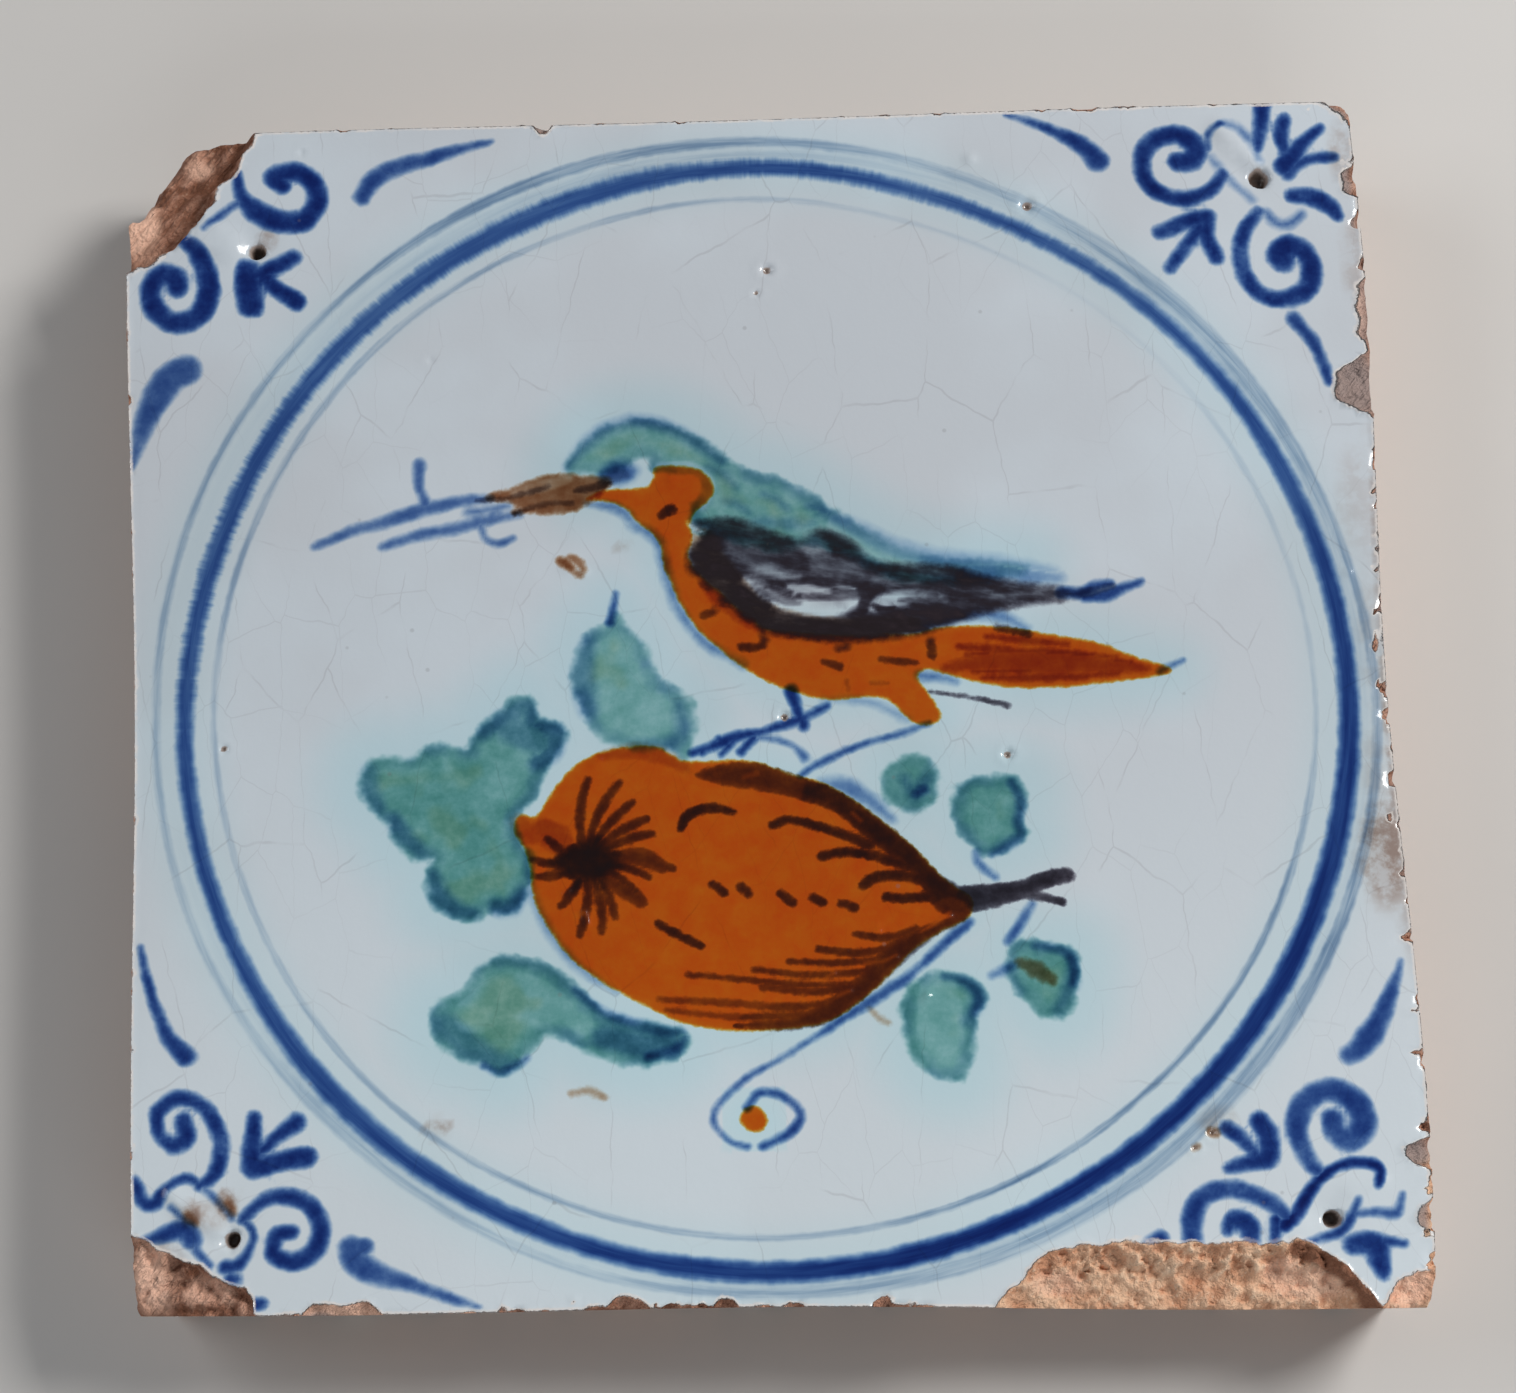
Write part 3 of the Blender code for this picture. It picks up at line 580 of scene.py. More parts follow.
# Thin blue washes: pale lines round the bird and the ox-head corners.
BLUE_WASHES = [
    (0.34, (2.0, 3.2, 2.2), ((-15.2, 24.9), (-14.0, 25.3), (-13.0, 25.3))),
    (0.26, (0.6, 0.9, 0.5), ((-3.0, 21.8), (-1.6, 21.2), (-0.4, 20.2))),
    (0.26, (0.6, 0.9, 0.5), ((1.0, 22.4), (2.6, 21.6), (3.4, 20.6))),
    (0.34, (0.6, 1.0, 0.5), ((5.6, 21.0), (7.2, 20.4), (8.2, 19.6))),
    (0.22, (0.8, 1.1, 0.6), ((-4.6, 25.6), (-3.0, 24.6), (-1.8, 23.2))),
    (0.20, (1.0, 1.6, 1.0), ((0.0, 19.4), (3.0, 19.0), (6.0, 19.0))),
    (0.21, (1.6, 2.4, 1.5), ((-40.3, -6.8), (-40.2, -8.8), (-39.4, -10.6))),
    (0.31, (1.4, 2.2, 1.4), ((-37.8, -12.0), (-36.9, -13.8), (-35.2, -15.4))),
    (0.34, (1.2, 2.2, 1.8, 1.4), ((-33.9, -18.2), (-33.2, -20.4), (-31.4, -21.9), (-29.8, -22.3))),
    (0.37, (1.6, 2.0, 1.3), ((-27.6, -21.6), (-26.2, -21.8), (-24.7, -20.0))),
    (0.28, (1.6, 2.4, 2.0, 1.6), ((-28.4, -3.0), (-26.2, -1.6), (-24.3, -0.4), (-23.8, -2.4))),
    (0.38, (1.6, 2.2, 2.2, 1.8), ((-23.0, -2.7), (-21.3, -3.3), (-21.6, -5.3), (-23.2, -6.5))),
    (0.22, (1.6, 2.6, 2.4), ((-17.6, 6.4), (-18.2, 3.0), (-17.8, -0.6))),
    (0.22, (1.4, 2.0, 1.2), ((-8.4, -0.6), (-8.2, -3.2), (-9.4, -4.8))),
    (0.19, (2.4, 2.8, 2.0), ((-32.8, -33.8), (-30.4, -36.2), (-27.0, -38.0))),
    (0.28, (1.2, 1.8, 1.4), ((14.4, -9.2), (15.4, -10.8), (16.6, -9.4))),
    (0.25, (1.2, 1.6, 1.0), ((30.6, -29.0), (30.4, -31.6), (28.8, -34.2))),
    (0.22, (1.0, 1.6, 1.2), ((19.4, -31.0), (20.9, -32.8), (19.6, -35.0))),
    (0.28, (0.8, 1.4, 1.4, 1.3, 1.3, 1.0), (
        (-19.4, 25.9), (-17.9, 28.0), (-15.4, 30.1), (-12.0, 31.0), (-8.2, 30.0), (-3.2, 26.2))),
    (0.45, (0.5, 1.1, 1.2, 1.0, 1.0, 0.9, 0.9, 0.7), (
        (-17.4, 21.8), (-14.2, 21.2), (-12.4, 19.3), (-10.3, 17.6), (-9.4, 14.0), (-8.2, 10.0),
        (-5.6, 6.2), (-1.6, 3.6))),
    (0.18, (0.8, 2.0, 2.4, 2.0, 1.6, 0.9), (
        (6.6, 20.0), (9.6, 18.9), (14.0, 16.3), (19.0, 14.8), (25.0, 14.2), (31.0, 13.0))),
    (0.32, (2.0, 2.2, 1.8, 1.2), ((21.8, 13.0), (25.0, 13.0), (28.5, 12.5), (31.4, 12.2))),
    (0.45, (0.6, 0.9, 1.0, 1.3, 0.7), (
        (16.6, 7.2), (19.4, 7.9), (22.4, 8.4), (25.4, 8.1), (27.8, 6.7))),
    (0.60, (1.0, 0.9, 0.5), ((16.6, 1.9), (18.2, 1.7), (20.2, 1.2))),
    (0.25, (0.5, 0.7, 0.7), ((6.5, -0.5), (11.0, -0.8), (15.0, -2.8))),
    (0.45, (0.8, 2.0, 1.6, 0.8), ((6.0, -9.3), (8.6, -10.0), (10.4, -11.2), (13.0, -13.4))),
    (0.50, (0.7, 0.8, 0.6), ((-30.0, 21.2), (-28.0, 21.4), (-25.6, 21.8))),
    (0.55, (0.5, 0.9, 0.9, 0.7), ((51.3, 63.4), (53.2, 62.9), (54.6, 61.2), (55.2, 59.2))),
    (0.42, (0.6, 0.8, 0.8), ((50.0, 59.6), (52.0, 57.0), (54.2, 54.6))),
    (0.80, (0.7, 0.8, 0.9, 0.7), ((55.6, 53.0), (56.6, 51.7), (58.0, 51.6), (59.4, 52.8))),
    (0.22, (3.5, 3.0), ((-26.0, -2.4), (-22.4, -4.4))),
    (0.35, (2.4, 2.8, 2.0), ((-17.0, -35.6), (-13.0, -36.6), (-10.2, -36.4))),
    (0.34, (0.5, 0.9, 0.9, 0.7, 0.4), (
        (-24.4, -16.0), (-24.0, -20.0), (-22.2, -24.4), (-19.6, -28.0), (-15.6, -31.0))),
]

# Leaves, and the bird's green head and back.
GREEN_SHAPES = [
    ((-41.1, -7.2), (-40.4, -6.0), (-38.5, -5.4), (-36.2, -5.6), (-34.5, -4.6), (-32.4, -4.2),
     (-30.4, -4.8), (-29.8, -3.8), (-28.6, -2.1), (-26.8, -0.8), (-25.5, 0.5), (-24.2, 0.8),
     (-23.2, 0.0), (-22.9, -1.6), (-21.4, -1.9), (-20.2, -3.2), (-20.6, -5.0), (-21.8, -6.7),
     (-22.8, -8.2), (-23.6, -10.3), (-25.2, -12.0), (-25.4, -13.6), (-24.7, -15.2), (-23.8, -16.4),
     (-23.8, -18.6), (-24.6, -20.4), (-25.6, -22.1), (-26.6, -22.6), (-27.9, -21.8),
     (-29.0, -22.6), (-30.4, -23.2), (-32.0, -22.6), (-33.5, -21.6), (-34.4, -19.8),
     (-34.6, -17.9), (-33.9, -16.5), (-35.0, -16.5), (-36.6, -15.8), (-37.9, -14.2),
     (-38.2, -12.8), (-39.5, -11.7), (-40.9, -10.0), (-41.3, -8.6)),
    ((-14.8, 9.8), (-15.6, 8.4), (-17.3, 7.6), (-18.8, 5.0), (-19.2, 2.0), (-18.2, -1.0),
     (-16.6, -3.8), (-13.0, -5.2), (-9.5, -5.2), (-8.0, -6.3), (-6.9, -3.5), (-7.0, -0.6),
     (-8.6, 1.2), (-10.2, 2.0), (-11.0, 4.0), (-12.0, 6.3), (-13.6, 8.0)),
    ((-34.3, -34.0), (-33.6, -31.8), (-31.0, -30.3), (-29.5, -28.0), (-26.5, -27.0),
     (-23.5, -27.6), (-20.5, -29.5), (-18.5, -31.5), (-16.0, -33.5), (-12.0, -34.5),
     (-9.0, -35.2), (-8.4, -36.4), (-10.0, -38.0), (-13.5, -38.6), (-17.5, -37.6),
     (-20.5, -36.0), (-22.8, -35.4), (-24.0, -36.5), (-25.5, -38.2), (-27.5, -39.3),
     (-29.3, -38.0), (-31.5, -37.5), (-33.5, -36.0)),
    ((12.4, -8.6), (14.4, -6.9), (16.8, -7.2), (17.7, -9.4), (17.2, -11.6), (15.2, -12.8),
     (12.8, -11.6)),
    ((20.3, -10.0), (21.5, -9.2), (24.0, -9.3), (26.0, -9.6), (26.8, -11.3), (26.5, -13.0),
     (26.2, -14.3), (26.8, -15.5), (25.5, -16.5), (23.5, -17.6), (21.5, -17.2), (20.0, -15.2),
     (19.2, -13.0), (19.5, -11.3)),
    ((24.4, -27.4), (26.5, -26.8), (28.0, -27.3), (30.0, -27.5), (31.2, -29.0), (31.0, -31.5),
     (30.3, -34.0), (28.8, -35.0), (27.0, -34.3), (25.3, -32.5), (24.2, -30.5)),
    ((13.2, -34.0), (14.0, -31.6), (15.7, -30.0), (18.0, -30.0), (20.5, -30.8), (21.7, -32.5),
     (20.8, -34.2), (20.3, -36.5), (20.0, -39.0), (18.8, -41.0), (16.5, -40.8), (14.5, -39.0),
     (13.3, -36.5)),
    ((-19.4, 25.6), (-18.9, 27.2), (-16.8, 29.4), (-14.0, 30.8), (-11.0, 31.0), (-8.0, 30.2),
     (-5.5, 28.6), (-3.5, 27.0), (-1.0, 25.2), (1.5, 24.4), (4.0, 23.3), (6.5, 21.8),
     (9.0, 19.9), (12.0, 17.9), (15.0, 16.2), (19.0, 14.9), (24.0, 14.2), (28.0, 13.7),
     (26.0, 12.4), (19.0, 12.0), (14.0, 12.8), (10.0, 15.0), (6.0, 16.4), (3.0, 16.0),
     (0.0, 16.6), (-4.0, 17.6), (-6.0, 18.4), (-6.6, 19.3), (-6.4, 21.2), (-5.4, 22.5),
     (-5.4, 24.3), (-6.6, 24.9), (-9.0, 25.2), (-10.4, 25.4), (-10.8, 26.6), (-11.8, 27.0),
     (-12.6, 26.2), (-13.8, 25.4), (-15.2, 25.0), (-17.4, 25.2)),
]

# Where the green was laid thinner: (load, widths, places).
PALER_GREEN = [
    (0.70, (10.0, 12.0, 8.0), ((-15.0, 7.0), (-14.0, 0.0), (-10.0, -3.0))),
    (0.78, (8.0, 7.0, 8.0, 8.0, 6.0, 4.0), (
        (-17.0, 27.0), (-10.0, 29.0), (-4.0, 24.0), (3.0, 20.5), (10.0, 17.5), (24.0, 14.0))),
    (0.46, (3.0, 4.4, 4.0, 3.0), ((9.0, 18.6), (14.0, 16.4), (20.0, 14.6), (27.0, 13.4))),
    (0.85, (3.0, 4.0, 3.0), ((-26.0, -2.0), (-25.0, -6.0), (-27.0, -9.0))),
    (0.80, (4.0, 5.0, 4.0), ((-30.0, -33.0), (-26.0, -31.0), (-20.0, -34.0))),
    (0.72, (4.0, 5.0, 4.0), ((17.0, -32.0), (17.0, -36.0), (17.5, -39.0))),
    (0.30, (0.8, 1.2, 1.2, 0.8), ((-9.8, 25.8), (-6.4, 25.6), (-4.6, 23.6), (-5.4, 21.2))),
]

# The orange of the bird's cheek, breast, belly, thigh and tail, and of the fruit.
ORANGE_SHAPES = [
    ((-10.0, 25.6), (-7.5, 25.7), (-5.3, 25.0), (-4.2, 23.3), (-4.8, 21.9), (-6.0, 20.8),
     (-6.8, 19.3), (-6.6, 17.5), (-7.1, 16.0), (-6.6, 14.6), (-5.4, 13.0), (-3.6, 11.4),
     (-2.2, 9.8), (-0.6, 8.8), (0.4, 7.6), (3.5, 7.0), (7.0, 6.6), (12.0, 6.5), (16.0, 6.4),
     (18.5, 7.0), (22.0, 7.1), (26.0, 6.8), (31.0, 5.8), (35.0, 4.9), (39.0, 3.2), (42.5, 1.8),
     (40.0, 1.1), (36.0, 0.7), (31.0, 0.3), (26.0, 0.4), (22.0, 1.2), (19.0, 2.2), (17.0, 2.6),
     (16.2, 1.6), (17.2, 0.0), (18.0, -1.3), (18.4, -2.6), (17.3, -3.4), (15.8, -3.2),
     (14.5, -2.0), (13.0, -0.5), (10.5, -0.2), (7.5, -0.4), (4.5, 0.2), (2.0, 1.2), (0.0, 2.3),
     (-2.5, 4.0), (-4.5, 5.9), (-6.3, 7.8), (-7.8, 10.3), (-8.8, 12.8), (-9.6, 15.0),
     (-9.8, 17.0), (-11.0, 18.7), (-12.3, 19.8), (-13.5, 21.3), (-15.8, 22.2), (-17.5, 22.3),
     (-15.5, 23.2), (-12.5, 23.3), (-11.0, 23.5), (-10.4, 24.5)),
    ((-23.2, -12.2), (-21.5, -9.5), (-19.3, -7.0), (-16.5, -5.6), (-13.0, -5.0), (-10.5, -5.3),
     (-8.5, -6.6), (-6.0, -6.9), (-3.0, -6.8), (0.0, -7.3), (3.0, -8.5), (6.0, -9.5),
     (9.0, -11.3), (12.0, -13.8), (15.0, -16.5), (17.3, -19.3), (19.5, -21.3), (20.7, -22.3),
     (20.3, -24.2), (18.0, -25.3), (15.0, -27.0), (12.5, -29.5), (10.0, -31.8), (7.0, -34.0),
     (4.0, -35.0), (-1.0, -35.4), (-5.0, -35.2), (-9.0, -34.3), (-12.0, -32.8), (-16.0, -30.5),
     (-19.5, -27.8), (-22.0, -24.5), (-23.6, -21.0), (-24.0, -17.5), (-24.6, -15.4),
     (-25.6, -13.4), (-24.8, -12.0)),
]
ORANGE_STROKES = [(1.0, (2.4, 2.3), ((-2.2, -44.5), (-2.0, -44.7)))]

# Brown: the bird's beak, the shadows of its tail, a mark on a leaf, and old stains.
BROWN_STROKES = [
    (0.80, (0.5, 1.4, 3.2, 4.3, 4.2, 2.7, 0.8), (
        (-27.6, 22.8), (-25.0, 22.9), (-22.6, 22.8), (-20.4, 23.0), (-18.2, 23.2), (-16.0, 23.9),
        (-15.2, 24.1))),
    (0.90, (0.5, 0.8, 1.0), ((-25.0, 21.1), (-23.2, 21.4), (-21.4, 21.6))),
    (0.52, (0.7, 1.8, 1.0), ((25.2, -29.0), (26.5, -29.6), (28.5, -31.0))),
    (0.22, (0.9, 1.7, 1.9, 1.0), ((-16.4, -5.9), (-13.0, -5.4), (-10.2, -6.1), (-8.2, -7.3))),
    (0.22, (1.6, 2.4, 1.2), ((-25.2, -12.6), (-24.2, -14.0), (-22.8, -14.4))),
    (0.34, (1.8, 3.2, 2.0), ((-22.8, -13.4), (-21.6, -14.4), (-20.2, -15.8))),
    (0.42, (0.8, 2.2, 2.8, 2.0, 0.8), (
        (19.0, 2.6), (24.0, 3.3), (29.0, 3.0), (35.0, 2.6), (40.0, 2.0))),
    (0.35, (0.5, 0.8, 0.5), ((-20.4, -41.4), (-18.6, -41.2), (-17.0, -41.9))),
    (0.30, (0.4, 0.7, 0.5), ((9.9, -33.4), (10.8, -34.4), (11.8, -35.0))),
    (0.34, (2.6, 4.2, 3.4, 2.6, 2.4, 1.6), (
        (-5.4, 17.4), (-4.8, 15.0), (-2.8, 11.6), (0.8, 8.6), (8.0, 7.2), (16.0, 7.6))),
    (0.85, (0.7, 1.0, 0.6), ((-20.4, 15.6), (-19.6, 15.1), (-19.1, 14.5))),
    (0.60, (0.6, 0.9, 0.6), ((-19.2, 15.9), (-18.4, 15.4), (-17.9, 14.4))),
    (0.70, (0.5, 0.6), ((-18.8, 14.2), (-18.3, 13.9))),
    (0.60, (0.8, 0.7), ((43.6, -47.2), (44.1, -47.4))),
    (0.50, (0.5, 0.5), ((41.9, -48.9), (42.3, -48.7))),
    (0.30, (0.9, 0.5), ((-58.6, -52.8), (-57.8, -53.6))),
    (0.35, (0.9, 0.6), ((-54.8, -51.6), (-54.2, -52.6))),
]

# The paler ridge of the beak.
BEAK_RIDGE = ((-25.0, 23.2), (-22.0, 23.9), (-19.2, 24.6))

# Dark purple-brown: the wing, the fruit's shading, its calyx and stem, dots and hatching.
WING_OUTLINE = (
    (-6.0, 19.5), (-3.0, 19.8), (-0.5, 19.3), (2.0, 18.1), (4.5, 17.4), (6.5, 18.3),
    (8.5, 17.8), (10.5, 16.5), (12.0, 14.9), (14.0, 14.3), (18.0, 14.1), (21.5, 13.5),
    (24.5, 12.5), (28.0, 11.7), (32.0, 11.0), (32.0, 9.8), (28.0, 9.4),
    (25.0, 8.8), (22.0, 8.0), (19.0, 7.1), (16.0, 6.3), (12.0, 5.9), (8.0, 5.9), (4.0, 6.4),
    (1.0, 7.1), (-0.6, 8.2), (-1.7, 8.9), (-2.5, 9.9), (-3.7, 10.4), (-4.1, 11.7), (-5.4, 12.1),
    (-6.0, 13.3), (-7.0, 13.9), (-7.2, 15.3), (-6.9, 16.6), (-6.0, 17.2), (-5.6, 18.2), (-6.2, 18.8),
)
FRUIT_SHADES = [
    ((-4.0, -7.1), (0.0, -7.3), (4.0, -8.8), (8.0, -10.6), (12.0, -13.7), (15.0, -16.4),
     (17.5, -19.4), (20.0, -21.1), (21.2, -22.2), (20.2, -24.1), (18.0, -23.9), (16.6, -22.6),
     (15.8, -20.8), (14.3, -18.9), (12.3, -17.1), (10.0, -15.2), (7.6, -12.9), (4.0, -11.2),
     (0.0, -10.2), (-4.0, -9.4), (-7.0, -8.2)),
    ((20.3, -23.4), (18.0, -24.3), (15.0, -25.3), (12.0, -26.8), (10.0, -28.8), (8.5, -30.4),
     (6.0, -32.2), (2.0, -34.0), (-4.0, -34.9), (1.0, -35.5), (5.0, -35.0), (8.0, -33.4),
     (11.0, -31.1), (14.0, -28.4), (17.0, -26.0), (20.0, -24.6)),
]
CALYX_MIDDLE = (-18.4, -17.2)
CALYX_POINTS = (
    (-18.0, -8.4), (-14.8, -8.8), (-13.4, -11.0), (-12.0, -12.8), (-11.5, -14.4), (-9.5, -18.2),
    (-12.0, -19.0), (-13.0, -21.0), (-15.5, -23.2), (-16.9, -24.6), (-19.2, -24.9), (-21.0, -21.8),
    (-23.2, -18.6), (-23.7, -16.8), (-22.2, -14.6),
)
DARK_STROKES = [
    (0.75, (1.6, 3.8, 4.0, 2.0), ((-21.0, -17.2), (-19.6, -17.1), (-17.6, -17.3), (-16.0, -17.3))),
    (0.50, (1.4, 2.0, 1.4), ((-15.6, -16.8), (-12.6, -16.9), (-10.6, -17.9))),
    (0.50, (1.2, 1.9, 1.2), ((-16.4, -19.0), (-14.0, -20.6), (-12.8, -21.6))),
    (0.45, (0.3, 0.5, 0.6, 0.6), ((-29.0, 22.5), (-26.2, 22.6), (-23.5, 23.2), (-21.5, 23.8))),
    (0.60, (0.5, 0.9, 0.7), ((-18.6, 23.3), (-16.8, 23.6), (-15.0, 24.1))),
    (0.35, (0.4, 0.6, 0.5), ((-25.0, 20.9), (-22.0, 21.9), (-19.0, 22.0))),
    (0.14, (1.0, 1.5, 0.9), ((-14.9, 24.6), (-14.0, 25.0), (-13.3, 25.0))),
    (0.85, (0.9, 1.2), ((-9.7, 20.3), (-8.7, 21.0))),
    (0.62, (1.0, 0.9), ((-5.5, 9.2), (-4.7, 9.4))),
    (0.70, (0.7, 0.8, 1.0), ((0.5, 7.2), (0.3, 5.6), (-1.7, 5.5))),
    (0.60, (0.6, 0.8), ((8.2, 5.0), (9.0, 5.2))),
    (0.62, (0.6, 0.9), ((6.7, 3.7), (8.3, 3.1))),
    (0.56, (0.6, 0.8, 0.5), ((12.6, 3.8), (14.4, 3.5), (16.2, 3.3))),
    (0.75, (0.8, 0.9), ((17.8, 5.6), (17.9, 4.1))),
    (0.20, (0.4, 0.4), ((9.0, 1.6), (9.1, 0.6))),
    (0.20, (0.4, 0.3), ((11.5, 1.2), (13.2, 1.2))),
    (0.60, (0.9, 0.7), ((24.8, 6.9), (28.0, 6.1))),
    (0.34, (1.0, 1.2, 0.6), ((31.8, 10.5), (34.2, 10.5), (37.0, 11.1))),
    (0.80, (0.3, 0.4, 0.6), ((17.4, 0.1), (21.0, -0.5), (25.4, -1.6))),
    (1.05, (3.0, 2.7, 2.0, 1.8, 1.6), (
        (18.8, -22.3), (22.0, -22.1), (26.0, -21.4), (28.4, -20.4), (30.6, -20.0))),
    (1.00, (1.0, 0.8), ((26.8, -22.0), (30.0, -22.8))),
    (0.95, (0.9, 0.9, 1.0, 1.0, 1.2), (
        (0.8, -13.8), (2.4, -13.3), (5.2, -14.0), (8.4, -15.2), (10.6, -16.2))),
    (0.95, (0.9, 1.0, 1.1, 1.2), ((5.7, -17.3), (8.0, -16.9), (11.0, -17.4), (14.6, -18.6))),
    (0.95, (1.1, 1.1, 1.1, 1.2), ((9.8, -20.5), (11.0, -19.7), (13.4, -19.5), (16.2, -20.2))),
    (0.90, (0.9, 1.0, 1.0), ((12.0, -21.8), (14.6, -22.0), (17.0, -21.8))),
    (1.00, (0.8, 1.1, 1.0, 0.7), ((-8.6, -13.9), (-7.8, -12.5), (-5.5, -11.8), (-3.2, -12.3))),
    (0.95, (0.8, 0.9, 0.8), ((-11.2, -24.0), (-9.0, -25.3), (-6.9, -26.4))),
    (0.80, (0.7, 1.0), ((-5.6, -19.9), (-4.4, -20.8))),
    (0.80, (1.1, 1.0), ((-2.6, -20.3), (-1.9, -21.0))),
    (0.76, (0.8, 1.0), ((1.3, -21.1), (2.5, -22.1))),
    (0.80, (1.0, 0.9), ((4.7, -21.7), (5.6, -22.2))),
    (0.80, (0.7, 1.0), ((7.4, -22.3), (8.8, -22.8))),
    (0.54, (0.6, 0.6, 0.7, 0.5), ((-8.3, -29.4), (-3.0, -30.0), (3.0, -30.8), (8.4, -30.8))),
    (0.58, (0.6, 0.7, 0.7), ((-1.6, -29.0), (4.0, -29.8), (9.4, -29.6))),
    (0.62, (0.6, 0.7, 0.7), ((2.0, -28.3), (7.0, -28.6), (12.0, -28.4))),
    (0.66, (0.7, 0.8, 0.8), ((5.0, -27.1), (9.0, -27.6), (13.0, -27.0))),
    (0.66, (0.6, 0.8, 0.8), ((8.7, -25.6), (12.0, -26.1), (15.0, -25.2))),
    (0.48, (0.8, 0.9, 0.9), ((-0.8, -30.9), (4.0, -31.5), (8.0, -31.2))),
    (0.38, (0.6, 0.8, 0.9, 0.8), ((-11.3, -31.9), (-5.0, -32.4), (2.0, -33.1), (6.4, -32.7))),
    (0.32, (0.5, 0.7, 0.8), ((-10.6, -33.0), (-4.0, -33.9), (3.0, -34.0))),
]
TAIL_STREAKS = (
    ((23.6, 6.0), (27.0, 5.5), (32.0, 4.9)), ((20.6, 5.0), (23.0, 4.7), (26.0, 4.6)),
    ((21.4, 4.0), (28.0, 4.2), (37.0, 3.3)), ((20.0, 2.9), (27.0, 2.9), (40.0, 2.0)),
    ((23.0, 1.5), (30.0, 1.3), (37.0, 1.5)), ((22.0, 2.2), (31.0, 2.1), (38.5, 1.8)),
    ((26.0, 3.5), (32.0, 3.5), (38.5, 2.7)),
)

# How loaded the dark areas are where the brush pressed or lifted, and where painted highlights lift them:
# (load, widths, places), in the order in which they were laid down.
CALYX_CORE = (
    ((-21.8, -17.0), (-18.4, -16.6), (-15.2, -16.2)), ((-20.6, -18.4), (-18.0, -17.6), (-15.0, -17.8)),
    ((-19.8, -15.2), (-18.2, -17.2), (-16.8, -19.8)), ((-17.0, -14.8), (-18.4, -17.0), (-19.6, -20.0)),
)
DARK_TOUCHES = [
    (0.55, (4.0, 3.6, 3.0), ((-6.0, -8.2), (-1.0, -8.8), (3.0, -9.8))),
    (0.82, (4.0, 4.6, 4.0), ((6.0, -10.6), (12.0, -15.6), (17.6, -20.6))),
    (0.58, (4.0, 4.6, 3.6, 3.0), ((18.6, -24.0), (12.0, -28.4), (6.0, -32.8), (-2.0, -35.0))),
    # Painted highlights: the next five touches lift the dark paint to light dashes where glints lie on the
    # fruit and its calyx.
    (0.30, (0.4, 0.5, 0.4), ((-20.0, -23.6), (-18.6, -22.6), (-17.6, -24.0))),
    (0.15, (0.2, 0.5, 0.4), ((15.4, -25.6), (16.8, -24.8), (18.4, -23.7))),
    (0.25, (0.3, 0.4, 0.3), ((9.6, -28.7), (11.4, -28.6), (12.8, -28.0))),
    (0.30, (0.3, 0.4), ((5.6, -30.2), (6.6, -29.6))),
    (0.30, (0.3, 0.4), ((6.6, -32.2), (8.0, -31.6))),
    (0.35, (0.5, 0.5), ((9.0, -12.8), (9.8, -13.6))),
    (0.35, (0.5, 0.7), ((-2.0, -8.6), (-0.6, -8.2))),
]

